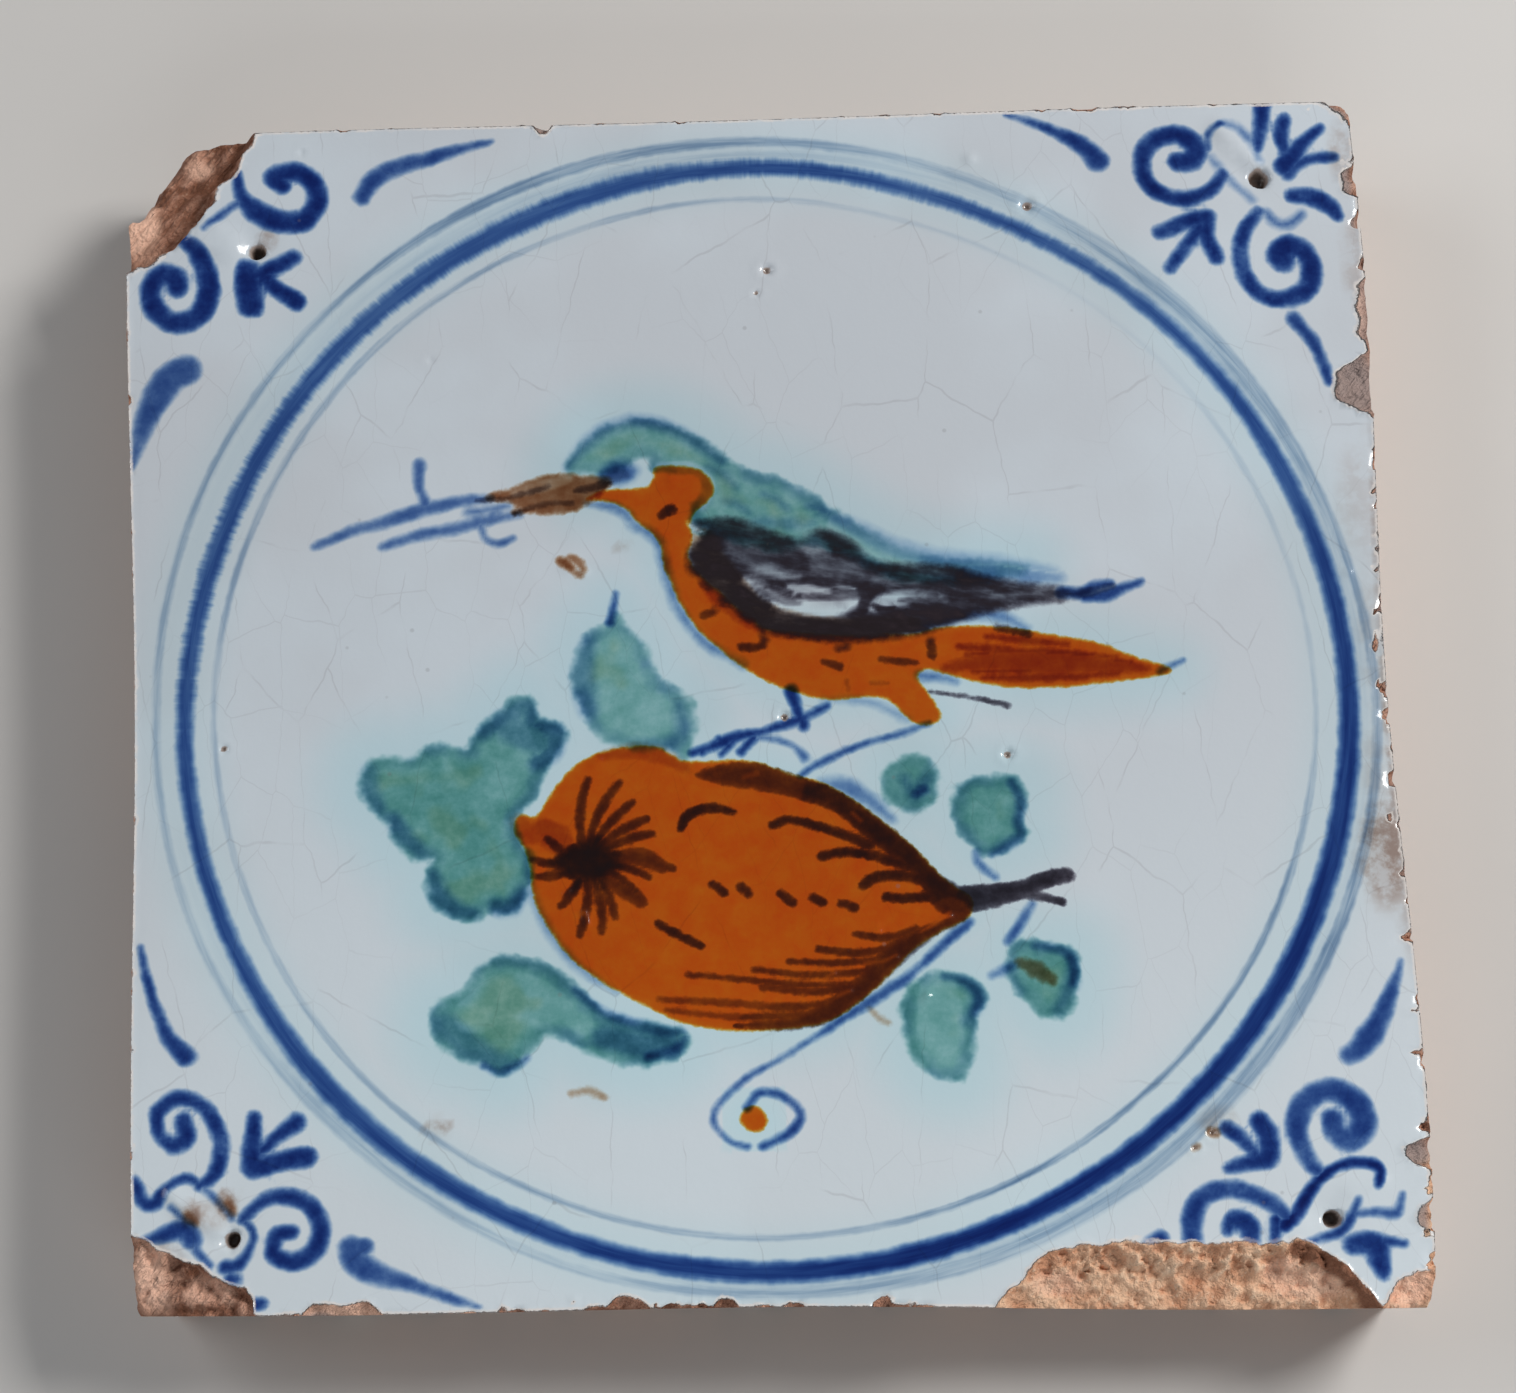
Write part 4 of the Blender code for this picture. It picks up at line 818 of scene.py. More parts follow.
# The same for the wing, from its broad tones to its feathers: (softness, load, widths, places).
WING_TOUCHES = [
    (1.4, 0.56, (2.6, 3.4, 2.6), ((-2.6, 17.0), (-0.6, 15.8), (1.0, 14.4))),
    (1.0, 0.78, (2.4, 3.0, 2.2), ((1.6, 17.0), (2.8, 16.0), (3.8, 14.8))),
    (1.0, 0.36, (2.2, 2.8, 1.8), ((5.0, 17.2), (6.2, 16.4), (7.2, 15.4))),
    (1.0, 0.62, (2.2, 2.8, 1.8), ((6.4, 14.4), (8.4, 13.8), (10.6, 13.0))),
    (0.8, 0.66, (1.0, 1.8, 1.4), ((8.0, 17.0), (9.8, 16.4), (11.6, 15.0))),
    (0.8, 0.66, (1.4, 1.4, 1.2), ((-5.8, 18.9), (-3.2, 19.0), (-0.4, 18.4))),
    (1.2, 1.10, (3.0, 4.0, 3.6), ((-5.2, 17.4), (-4.7, 15.0), (-3.0, 12.4))),
    (0.9, 1.15, (2.8, 3.2, 3.0, 2.6, 2.4, 2.4), (
        (-3.0, 11.2), (0.6, 8.7), (4.5, 7.4), (9.0, 6.9), (15.0, 7.7), (21.0, 9.3))),
    (0.8, 0.52, (0.8, 1.3, 0.9), ((-0.8, 14.4), (1.8, 13.6), (4.4, 12.9))),
    (0.6, 0.30, (0.4, 0.7, 0.4), ((0.0, 14.1), (2.4, 13.5), (4.6, 13.0))),
    (0.6, 0.95, (0.5, 0.8, 0.5), ((0.4, 13.1), (2.6, 12.4), (4.2, 11.6))),
    (1.0, 0.08, (0.9, 1.5, 1.5), ((-1.2, 12.9), (0.6, 11.5), (2.4, 10.4))),
    (1.0, 0.00, (1.2, 2.2, 2.2, 0.9), ((2.0, 10.1), (5.2, 9.6), (8.2, 9.5), (10.4, 10.2))),
    (0.5, 0.14, (0.3, 0.5, 0.3), ((3.4, 10.6), (4.6, 11.9), (6.6, 12.3))),
    (0.5, 0.60, (0.3, 0.5, 0.3), ((1.8, 12.3), (3.0, 11.5), (3.8, 10.5))),
    (0.5, 0.12, (0.3, 0.5, 0.3), ((7.0, 12.0), (8.8, 11.9), (10.2, 11.6))),
    (0.7, 0.50, (0.4, 0.9, 0.4), ((-0.2, 12.0), (1.4, 11.0), (3.2, 10.6))),
    (0.5, 0.30, (0.5, 0.8, 0.4), ((1.6, 11.1), (3.0, 10.4), (4.4, 10.2))),
    (0.6, 0.10, (0.8, 1.2, 0.8), ((3.4, 12.0), (5.4, 11.6), (7.4, 11.4))),
    (0.6, 0.80, (0.6, 0.8, 0.6), ((4.8, 12.8), (7.4, 12.3), (10.4, 12.3))),
    (0.5, 0.62, (0.4, 0.6, 0.5), ((5.6, 11.1), (7.6, 10.8), (10.2, 11.0))),
    (0.8, 0.12, (1.2, 2.0, 1.4), ((11.8, 9.5), (13.4, 10.1), (15.2, 10.3))),
    (0.8, 0.45, (1.0, 1.2, 0.8), ((15.8, 10.5), (17.6, 10.6), (19.4, 10.6))),
    (0.6, 0.06, (0.4, 0.8, 0.4), ((12.4, 10.4), (14.0, 10.7), (16.2, 10.9))),
    (0.5, 1.00, (0.9, 1.2, 0.8), ((10.6, 8.6), (11.1, 9.9), (11.4, 11.6))),
    (0.4, 0.95, (0.5, 0.7, 0.4), ((12.0, 9.7), (13.0, 9.2), (14.2, 9.4))),
    (0.8, 0.40, (0.7, 1.1, 0.7), ((12.0, 12.4), (14.4, 12.4), (17.0, 11.9))),
    (0.9, 0.92, (1.2, 1.8, 1.6), ((12.6, 13.8), (16.4, 13.4), (20.0, 12.9))),
    (1.0, 1.12, (2.2, 2.8, 2.6), ((19.8, 12.1), (21.8, 10.9), (24.0, 10.2))),
    (0.5, 0.70, (0.4, 0.6, 0.3), ((14.8, 10.2), (17.0, 10.1), (19.6, 9.9))),
    (0.9, 0.66, (0.8, 1.2, 0.8), ((13.6, 13.2), (17.0, 12.9), (20.4, 12.6))),
    (0.6, 0.60, (0.5, 0.8, 0.5), ((20.4, 11.4), (22.4, 11.0), (24.6, 10.9))),
    (0.6, 0.50, (0.5, 0.7, 0.4), ((24.4, 10.4), (27.0, 10.5), (30.0, 10.5))),
    (0.6, 0.62, (0.8, 1.4, 1.0), ((29.4, 10.5), (30.8, 10.5), (32.2, 10.5))),
]

# Where the white of the glaze was left bare inside the colours: widths, places.
LEFT_BARE = [
    ((0.3, 1.0, 1.1), ((-11.6, 26.0), (-11.2, 25.0), (-11.7, 24.1))),
    ((0.5, 0.8, 0.5), ((-6.9, 19.3), (-6.2, 18.6), (-5.4, 18.3))),
]

# Lumps and flakes of paler, pinker clay in the breaks, and paler spots of painted light where a break's
# slope turns from the light: the middle, half size and strength of each.
PINK_LUMPS_AND_LIT_SPOTS = (
    ((-64.3, 54.6), (1.9, 4.2), 1.0), ((-62.4, -58.9), (2.6, 3.8), 1.0),
    ((-43.4, -63.2), (4.4, 1.6), 1.0), ((-31.5, -63.6), (1.8, 1.0), 1.0),
    ((62.2, -63.4), (3.0, 2.8), 0.8), ((64.4, 41.5), (1.0, 3.2), 1.0),
    ((64.6, 28.0), (0.9, 2.0), 1.0), ((-58.4, 62.4), (1.6, 1.2), 0.7),
    ((-57.2, -60.2), (2.2, 1.4), 0.5), ((-55.0, -61.0), (0.9, 1.3), 0.5),
    ((53.2, -62.8), (4.6, 2.0), 0.55), ((50.4, -61.6), (2.2, 1.6), 0.6),
    ((27.6, -62.2), (3.0, 1.4), 0.45),
)

# Flakes and nicks whose clay has gone grey with dirt, in the same form.
DIRTY_FLAKES = (
    ((63.8, 33.0), (3.4, 4.4), 1.0), ((65.0, 42.0), (1.2, 6.0), 0.7),
    ((63.8, -49.9), (2.2, 1.6), 1.0), ((64.0, -56.4), (1.2, 2.2), 1.0),
    ((64.2, 56.5), (1.0, 2.2), 1.0), ((63.6, 64.2), (1.6, 1.6), 1.0), ((-45.8, -63.9), (1.7, 1.1), 1.0),
    ((-21.5, 65.3), (1.2, 1.0), 1.0), ((64.6, 51.0), (0.8, 1.8), 1.0),
    ((65.0, -16.0), (1.0, 6.0), 0.8), ((65.2, 8.0), (0.9, 14.0), 0.8),
)

# Old stains in the glaze, in the same form.
STAINS = (
    ((63.2, 20.0), (2.4, 6.0), 0.14), ((63.8, 4.0), (2.0, 8.0), 0.14), ((63.4, -10.0), (2.2, 6.0), 0.18),
    ((63.4, -18.6), (2.8, 5.6), 0.85), ((64.2, 60.0), (1.6, 3.4), 0.30), ((64.6, 47.0), (1.1, 5.0), 0.26),
    ((64.9, -8.0), (1.0, 20.0), 0.50), ((65.0, 14.0), (0.9, 14.0), 0.36), ((-57.4, -52.8), (3.2, 1.6), 0.26),
    ((-58.3, -52.9), (1.1, 1.3), 1.10), ((-55.0, -51.9), (1.1, 1.5), 1.00),
    ((-33.8, -44.6), (1.4, 0.9), 0.55),
    ((-62.0, -57.0), (3.0, 2.0), 0.35), ((-14.0, 17.0), (0.8, 0.6), 0.30), ((44.4, -46.2), (2.0, 1.4), 0.30),
    ((-50.8, 52.6), (1.2, 1.2), 0.50),
)

# The steep end of the long chip, along which painted shade lies.
CHIP_END = ((51.6, -59.4), (53.8, -60.4), (56.2, -61.9), (58.0, -63.8), (58.9, -65.8))

# A deep crease across the bottom left break, along which painted shade lies.
BREAK_CREASE = ((-60.9, -57.2), (-59.8, -62.6))

LINE_STEP = 0.3
TINY = 1e-9


def smooth_line(points, widths, closed=False):
    """Places every LINE_STEP mm on a smooth curve through the points, with the widths there."""
    points = np.array(points, float)
    count = len(points)
    spans = count if closed else count - 1
    picked = []
    for i in range(spans):
        around = [(i + k) % count if closed else min(max(i + k, 0), count - 1) for k in (-1, 0, 1, 2)]
        before, start, end, after = points[around]
        steps = max(2, math.ceil(np.linalg.norm(end - start) / LINE_STEP))
        t = (np.arange(steps) / steps)[:, None]
        bend = (2 * before - 5 * start + 4 * end - after) * t ** 2
        twist = (3 * start - before - 3 * end + after) * t ** 3
        picked.append(0.5 * (2 * start + (end - before) * t + bend + twist))
    picked.append(points[:1] if closed else points[-1:])
    line = np.vstack(picked)
    along = np.linspace(0, 1, len(line))
    return line, np.interp(along, np.linspace(0, 1, len(widths)), widths)


def nearest(places, line, half_widths):
    """How far inside a stroke each place is: its half width less the distance to its middle."""
    start = line[:-1]
    run = line[1:] - start
    length = np.maximum((run ** 2).sum(1), TINY)
    off = places[:, None] - start[None]
    share = np.clip((off * run).sum(2) / length, 0, 1)
    away = np.sqrt(((off - share[:, :, None] * run) ** 2).sum(2))
    half = half_widths[:-1] + share * (half_widths[1:] - half_widths[:-1])
    return (half - away).max(1)


def inside(places, outline):
    """Whether each place is within a closed outline."""
    x, y = places[:, :1], places[:, 1:]
    first = outline[:-1]
    last = outline[1:]
    rises = (first[:, 1] > y) != (last[:, 1] > y)
    rise = np.where(last[:, 1] == first[:, 1], TINY, last[:, 1] - first[:, 1])
    slope = (last[:, 0] - first[:, 0]) / rise
    crossed = rises & (x < first[:, 0] + slope * (y - first[:, 1]))
    return crossed.sum(1) % 2 == 1


def within(places, line, margin):
    """The places that lie in a line's box, widened by a margin."""
    low = line.min(0) - margin
    high = line.max(0) + margin
    return np.flatnonzero(((places > low) & (places < high)).all(1))


class Painting:
    """The painted layers at each of some places of the face, in mm inside their edges."""

    LAYERS = ("cobalt", "wash", "copper", "orange", "brown", "dark")

    def __init__(self, places):
        self.places = places
        self.inside = {name: np.full(len(places), FAR) for name in self.LAYERS}
        self.load = {name: np.ones(len(places)) for name in self.LAYERS}
        self.fine = np.full(len(places), FAR)
        self.wing = np.zeros(len(places))

    def stroke(self, layer, load, widths, points, margin=2.0):
        line, width = smooth_line(points, widths)
        near = within(self.places, line, margin + max(widths) / 2)
        depth = nearest(self.places[near], line, width / 2)
        self.lay(layer, near, depth, load)
        thin = near[nearest(self.places[near], line, np.minimum(width / 2, 0.5)) > -0.45]
        if min(widths) < 1.0:
            self.fine[thin] = 0

    def strokes(self, layer, strokes):
        for load, widths, points in strokes:
            self.stroke(layer, load, widths, points)

    def shape(self, layer, points, load=1.0, margin=8.5):
        line, width = smooth_line(points, (0.0,), closed=True)
        near = within(self.places, line, margin)
        depth = nearest(self.places[near], line, width)
        depth = np.where(inside(self.places[near], line), -depth, depth)
        self.lay(layer, near, depth, load)

    def lay(self, layer, near, depth, load):
        deeper = depth > self.inside[layer][near]
        self.inside[layer][near[deeper]] = depth[deeper]
        self.load[layer][near[deeper]] = load

    def touch(self, layer, load, widths, points, softness=0.5):
        """Changes how loaded a layer is along a stroke."""
        line, width = smooth_line(points, widths)
        near = within(self.places, line, 1.0 + softness + max(widths) / 2)
        cover = rising(nearest(self.places[near], line, width / 2) / softness + 0.5)
        self.load[layer][near] += (load - self.load[layer][near]) * cover
        edge = near[(cover > 0) & (cover < 1)]
        self.fine[edge] = np.maximum(self.fine[edge], -0.5 if softness > 0.5 else 0)

    def leave_bare(self, widths, points):
        """Takes the colours away along a stroke."""
        line, width = smooth_line(points, widths)
        near = within(self.places, line, 1.5)
        depth = nearest(self.places[near], line, width / 2)
        for layer in ("copper", "orange", "dark", "brown"):
            self.inside[layer][near] = np.minimum(self.inside[layer][near], -depth)
        self.fine[near[np.abs(depth) < 0.4]] = 0


def painted(places):
    """The whole painting, read at these places."""
    art = Painting(places)
    for outline in GREEN_SHAPES:
        art.shape("copper", outline)
    for load, widths, points in PALER_GREEN:
        art.touch("copper", load, widths, points)
    for outline in ORANGE_SHAPES:
        art.shape("orange", outline)
    art.shape("dark", WING_OUTLINE, 0.95, margin=2.0)
    art.wing = rising((art.inside["dark"] + 1.5) / 0.8)
    for outline in FRUIT_SHADES:
        art.shape("dark", outline, 0.85, margin=2.0)
    for strokes in CORNER_ORNAMENT.values():
        art.strokes("cobalt", strokes)
    art.strokes("cobalt", BLUE_LINES)
    art.strokes("wash", BLUE_WASHES)
    art.strokes("orange", ORANGE_STROKES)
    art.strokes("brown", BROWN_STROKES)
    art.touch("brown", 0.50, (0.8, 1.5, 0.8), BEAK_RIDGE)
    for point in CALYX_POINTS:
        art.stroke("dark", 0.66, (1.8, 0.85, 1.05, 0.7), calyx_stroke(point))
    for points in TAIL_STREAKS:
        art.stroke("brown", 0.62, (0.5, 0.9, 0.4), points)
    art.strokes("dark", DARK_STROKES)
    for points in CALYX_CORE:
        art.touch("dark", 1.15, (0.8, 2.4, 0.8), points, softness=1.2)
    for load, widths, points in DARK_TOUCHES:
        art.touch("dark", load, widths, points)
    for softness, load, widths, points in WING_TOUCHES:
        art.touch("dark", load, widths, points, softness)
    for widths, points in LEFT_BARE:
        art.leave_bare(widths, points)
    return art


def calyx_stroke(point):
    """One curved stroke of the fruit's calyx, from its middle out to a point."""
    middle = np.array(CALYX_MIDDLE)
    out = np.array(point) - middle
    bow = np.array((-out[1], out[0])) * 0.07
    return (middle, middle + out * 0.4 + bow, middle + out * 0.75 + bow * 0.8, np.array(point))


# The mesh: how many of its coarsest cells lie along an edge, the rows of its sides, and how near
# to an edge of colour or clay it is made finer: within these distances in mm for the second and
# the third cut, and within these radii of a pit. A side is finer above UPPER_SIDE on the unit
# block, and broken clay is finer all over below LOWER_EDGE.
COARSE_CELLS = 68
SIDE_ROWS = 10
COLOUR_EDGE_REACH = 0.68
RIM_REACH = 1.2
FINE_REACH = (0.7, 0.3)
BREAK_REACH = (0.6, 0.3)
PIT_REACH = (1.8, 1.4)
PIT_MARGIN = 0.8
UPPER_SIDE = 0.36
LOWER_EDGE = -50.0

# On the unit block, how far out the middle of a cell of the face lies, and a point of a side or
# of the face. ON_SIDE is how near to a side, in mm, a point counts as on it.
FACE_LEVEL = 0.499
EDGE_LEVEL = 0.4999
ON_SIDE = 0.01


def deselect(mesh):
    for part in (mesh.vertices, mesh.edges, mesh.polygons):
        part.foreach_set("select", np.zeros(len(part), bool))


def whole_numbers(parts, name, width=1):
    """The numbers that a mesh's edges, faces or corners hold under one name."""
    numbers = np.empty(len(parts) * width, np.int32)
    parts.foreach_get(name, numbers)
    return numbers


def spots_of(parts, name):
    """The places that a mesh's vertices or faces hold under one name."""
    places = np.empty(len(parts) * 3, np.float32)
    parts.foreach_get(name, places)
    return places.reshape(-1, 3).astype(float)


def subdivide_edges(tile, upright, cuts):
    """Cuts the block's upright or its level edges into equal lengths."""
    mesh = tile.data
    deselect(mesh)
    places = spots_of(mesh.vertices, "co")
    ends = whole_numbers(mesh.edges, "vertices", 2)
    rise = np.abs(places[ends[1::2], 2] - places[ends[::2], 2])
    mesh.edges.foreach_set("select", (rise > 0.5) == upright)
    bpy.context.tool_settings.mesh_select_mode = (False, True, False)
    bpy.ops.object.mode_set(mode="EDIT")
    bpy.ops.mesh.subdivide(number_cuts=cuts)
    bpy.ops.object.mode_set(mode="OBJECT")


def subdivide_faces(tile, wanted):
    """Halves the cells of the faces whose middles are wanted."""
    mesh = tile.data
    deselect(mesh)
    mesh.polygons.foreach_set("select", wanted(spots_of(mesh.polygons, "center")))
    bpy.context.tool_settings.mesh_select_mode = (False, False, True)
    bpy.ops.object.mode_set(mode="EDIT")
    bpy.ops.mesh.subdivide(number_cuts=1, ngon=False)
    bpy.ops.object.mode_set(mode="OBJECT")


def unit_face(middles):
    """For places on the unit block: their places on the face, and how far they are from its rim."""
    share = np.clip(middles[:, :2] + 0.5, 0, 1)
    faces = face_point(share[:, 0], share[:, 1])
    inset = WIDTH * (0.5 - np.abs(middles[:, :2]).max(1))
    return faces, inset


def near_pits(faces, reach, margin=0.0):
    """Whether each place lies within so many radii of a pit or pinhole, and a margin in mm."""
    near = np.zeros(len(faces), bool)
    for place, radius, _ in POINT_HOLES + PINHOLES:
        near |= np.linalg.norm(faces - place, axis=1) < radius * reach + margin
    return near


def needs_first_cut(middles):
    """The whole face and the sides."""
    return middles[:, 2] > -FACE_LEVEL


def needs_second_cut(middles):
    """Cells near an edge of colour, near the rim, and in broken clay."""
    faces, inset = unit_face(middles)
    on_face = middles[:, 2] > FACE_LEVEL
    art = painted(faces)
    near = art.fine > -FINE_REACH[0]
    for layer in art.LAYERS:
        near |= np.abs(art.inside[layer]) < COLOUR_EDGE_REACH
    _, past, _ = broken_surface(faces)
    near |= past > -BREAK_REACH[0]
    near |= inset < RIM_REACH
    near |= near_pits(faces, PIT_REACH[0], PIT_MARGIN)
    upper_side = (middles[:, 2] > UPPER_SIDE) | ((past > 0) & (middles[:, 2] > 0))
    return np.where(on_face, near, upper_side)


def needs_third_cut(middles):
    """Cells at thin strokes, at the line where glaze ends, and in pits."""
    faces, _ = unit_face(middles)
    on_face = middles[:, 2] > FACE_LEVEL
    art = painted(faces)
    near = art.fine > -FINE_REACH[1]
    _, past, _ = broken_surface(faces)
    near |= (past > -BREAK_REACH[1]) & ((past < BREAK_REACH[0]) | (faces[:, 1] < LOWER_EDGE))
    near |= near_pits(faces, PIT_REACH[1])
    return near & on_face


def slab():
    """The block, from a cube, with cells as fine as each part of its surface needs."""
    bpy.ops.object.select_all(action="DESELECT")
    bpy.ops.mesh.primitive_cube_add(size=1, location=(0, 0, 0))
    tile = bpy.context.object
    tile.name = tile.data.name = "painted_tile"
    subdivide_edges(tile, False, COARSE_CELLS - 1)
    subdivide_edges(tile, True, SIDE_ROWS - 1)
    subdivide_faces(tile, needs_first_cut)
    subdivide_faces(tile, needs_second_cut)
    subdivide_faces(tile, needs_third_cut)
    return tile


def rounded(t, radius):
    """Where a rim's rounding takes a point: in from the side and down from the face.

    t runs from -radius on the face, over the rim, to radius on the side."""
    turn = (np.clip(t, -radius, radius) + radius) / (2 * radius) * math.pi / 2
    return radius * (1 - np.sin(turn)), radius * (1 - np.cos(turn))


# The rim's nibbles: the band in which they lie, their step down, and the slope beyond it.
NIBBLED_BAND = 2.0
NIBBLE_STEP = 0.25
NIBBLE_SLOPE = 0.8

# The width of the glaze's broken edge, and how far the bare clay lies under the solid's face.
GLAZE_END_WIDTH = 0.3
CLAY_SINK = 0.10

# The back's waves and the width of its rim, and how far the glaze ran down the sides.
BACK_LIFT = 0.18
BACK_WAVE = 0.16
BACK_RIM = 1.5
GLAZE_RUN = 0.9
GLAZE_RUN_WANDER = 1.1
LEAST_GLAZE_RUN = 0.25

# How far the knife's marks run along a side, across it, and down it.
KNIFE_DRAG = (9.0, 9.0, 0.9)
FINE_KNIFE_DRAG = (4.0, 4.0, 0.4)


def side_relief(places, below):
    """How far the clay of the sides stands in from a flat side: cut by a knife, then fired."""
    drag = noise_at(places / KNIFE_DRAG, 1.0, 61)
    drag += 0.5 * noise_at(places / FINE_KNIFE_DRAG, 1.0, 63)
    swell = noise_at(places, 11, 65)
    grain = grain_at(places, 1.6, 67)
    pits = np.maximum(noise_at(places, 2.6, 69) - 0.42, 0) * 2.4
    relief = 0.30 + 0.10 * drag + 0.22 * swell + 0.07 * grain + pits * 0.9
    return relief * rising(below / 2.4)


def four_sides(unit):
    """The axis and the sign of each side, and how far from it each place of the block lies."""
    for axis in (0, 1):
        for sign in (-1, 1):
            yield axis, sign, WIDTH * (0.5 - sign * unit[:, axis])


def past_glaze(past):
    """From 0 to 1 over the line where the glaze ends."""
    return rising(past / GLAZE_END_WIDTH + 0.5)


def shape_tile(tile):
    """Gives the block its outline, its undercut sides, its breaks and its glazed relief."""
    mesh = tile.data
    unit = spots_of(mesh.vertices, "co")
    faces, inset = unit_face(unit)
    on_edge = np.abs(unit[:, :2]).max(1) > EDGE_LEVEL
    on_face = unit[:, 2] > EDGE_LEVEL
    on_back = unit[:, 2] < -EDGE_LEVEL
    top, past, clay_relief = broken_surface(faces)
    nibble = rim_nibble(faces, inset)
    near_rim = inset < NIBBLED_BAND
    deep = NIBBLE_STEP + NIBBLE_SLOPE * nibble
    nibble_depth = np.where(near_rim & (nibble > 0), deep, 0)
    unbroken = 1 - past_glaze(past)
    top -= nibble_depth * rising(nibble / NIBBLE_STEP) * unbroken
    past = np.maximum(past, np.where(near_rim, nibble, FAR))
    glazed = 1 - past_glaze(past)
    top += glazed * (glaze_relief(faces) - GLAZE_SINK)
    top -= (1 - glazed) * CLAY_SINK
    z = np.where(on_face, top, top * (unit[:, 2] + 0.5))
    places = narrowed(faces, np.clip(z, 0, THICKNESS))
    below = np.where(on_face, 0, top - z)
    radius = RIM_RADIUS * glazed + BROKEN_RIM_RADIUS * (1 - glazed)
    bare = past.copy()
    drop = np.zeros(len(unit))
    lean_in = np.zeros((len(unit), 2))
    for axis, sign, away in four_sides(unit):
        on_this = away < ON_SIDE
        t = np.where(on_face, -away, np.where(on_this, below, -FAR))
        near = (np.abs(t) < radius) & (on_face | on_this)
        inward, down = rounded(t, radius)
        shift = np.where(on_face, inward - away, inward)
        lean_in[near, axis] -= (sign * shift)[near]
        drop = np.where(near, np.maximum(drop, down - below), drop)
    places += lean_in
    z -= drop
    on_side = on_edge & ~on_face
    solid = np.column_stack((places, z))
    stand_in = np.where(on_side, side_relief(solid, below), 0)
    for axis, sign, away in four_sides(unit):
        on_this = on_side & (away < ON_SIDE)
        places[on_this, axis] -= sign * stand_in[on_this]
    back_wave = BACK_LIFT + BACK_WAVE * grain_at(flat(faces), 9, 81)
    z = np.where(on_back, np.maximum(back_wave, 0) * rising(inset / BACK_RIM), z)
    runs = GLAZE_RUN + GLAZE_RUN_WANDER * noise_at(flat(places), 3.2, 91)
    bare = np.where(on_side, np.maximum(below - np.maximum(runs, LEAST_GLAZE_RUN), bare), bare)
    bare = np.where(on_back, -FAR, bare)
    solid = np.column_stack((places, z)) * MM
    solid = np.clip(solid, *CAD_BOX)
    mesh.vertices.foreach_set("co", solid.astype(np.float32).ravel())
    mesh.update()
    return unit, faces, bare, clay_relief


def spots(faces, places):
    """From 0 to 1 where the face lies in one of some oval spots."""
    share = np.zeros(len(faces))
    for place, size, strength in places:
        away = np.linalg.norm((faces - place) / size, axis=1)
        share = np.maximum(share, strength * (1 - rising((away - 0.5) / 0.8)))
    return share


def add_attribute(mesh, name, values):
    layer = mesh.attributes.new(name, "FLOAT", "POINT")
    layer.data.foreach_set("value", values.astype(np.float32))


# How dark the painted shade is at the long chip's end, and at the step and the crease of the top left break.
CHIP_END_SHADE = 1.1
STEP_SHADE = 0.6


def colour_tile(tile, unit, faces, bare, clay_relief):
    """Stores the painting on the mesh, with the distance past a break, the broken clay's tone, and the
    painted shade on its steep walls and crease.
    """
    mesh = tile.data
    art = painted(faces)
    for layer in art.LAYERS:
        add_attribute(mesh, layer, art.inside[layer])
    for layer in ("cobalt", "wash", "copper", "brown", "dark"):
        add_attribute(mesh, layer + "_load", art.load[layer])
    add_attribute(mesh, "bare_clay", bare)
    add_attribute(mesh, "pit", pit_depth(faces))
    on_face = unit[:, 2] > FACE_LEVEL
    add_attribute(mesh, "tan_clay", np.where(on_face, sandy_share(faces), SIDE_TAN))
    add_attribute(mesh, "clay_relief", np.where(on_face, clay_relief, 0))
    add_attribute(mesh, "pink_clay_and_painted_light", spots(faces, PINK_LUMPS_AND_LIT_SPOTS))
    add_attribute(mesh, "dirty_clay", spots(faces, DIRTY_FLAKES))
    add_attribute(mesh, "stain", spots(faces, STAINS))
    add_attribute(mesh, "wing", art.wing)
    # Painted shade along the long chip's steep end, the top left break's step and the bottom left crease.
    end_band = np.zeros(len(faces))
    for first, last in zip(CHIP_END[:-1], CHIP_END[1:]):
        away = line_distance(faces, first, last)
        end_band = np.maximum(end_band, 1 - rising((away - 0.6) / 0.5))
    start, _, out, _ = break_frame("top_left")
    distance = (faces - start) @ out
    step_band = rising((distance + 0.2) / 0.5) * (1 - rising((distance - 1.2) / 1.2))
    crease = 1 - rising((line_distance(faces, *BREAK_CREASE) - 0.35) / 0.7)
    shaded = np.maximum(CHIP_END_SHADE * end_band, STEP_SHADE * np.maximum(step_band, crease))
    add_attribute(mesh, "clay_painted_shade", np.where(on_face, shaded, 0))


# The map: the size of the face on it, the width of a side's strip, and the gap between them.
MAP_FACE = 0.80
MAP_STRIP = 0.085
MAP_GAP = 0.01


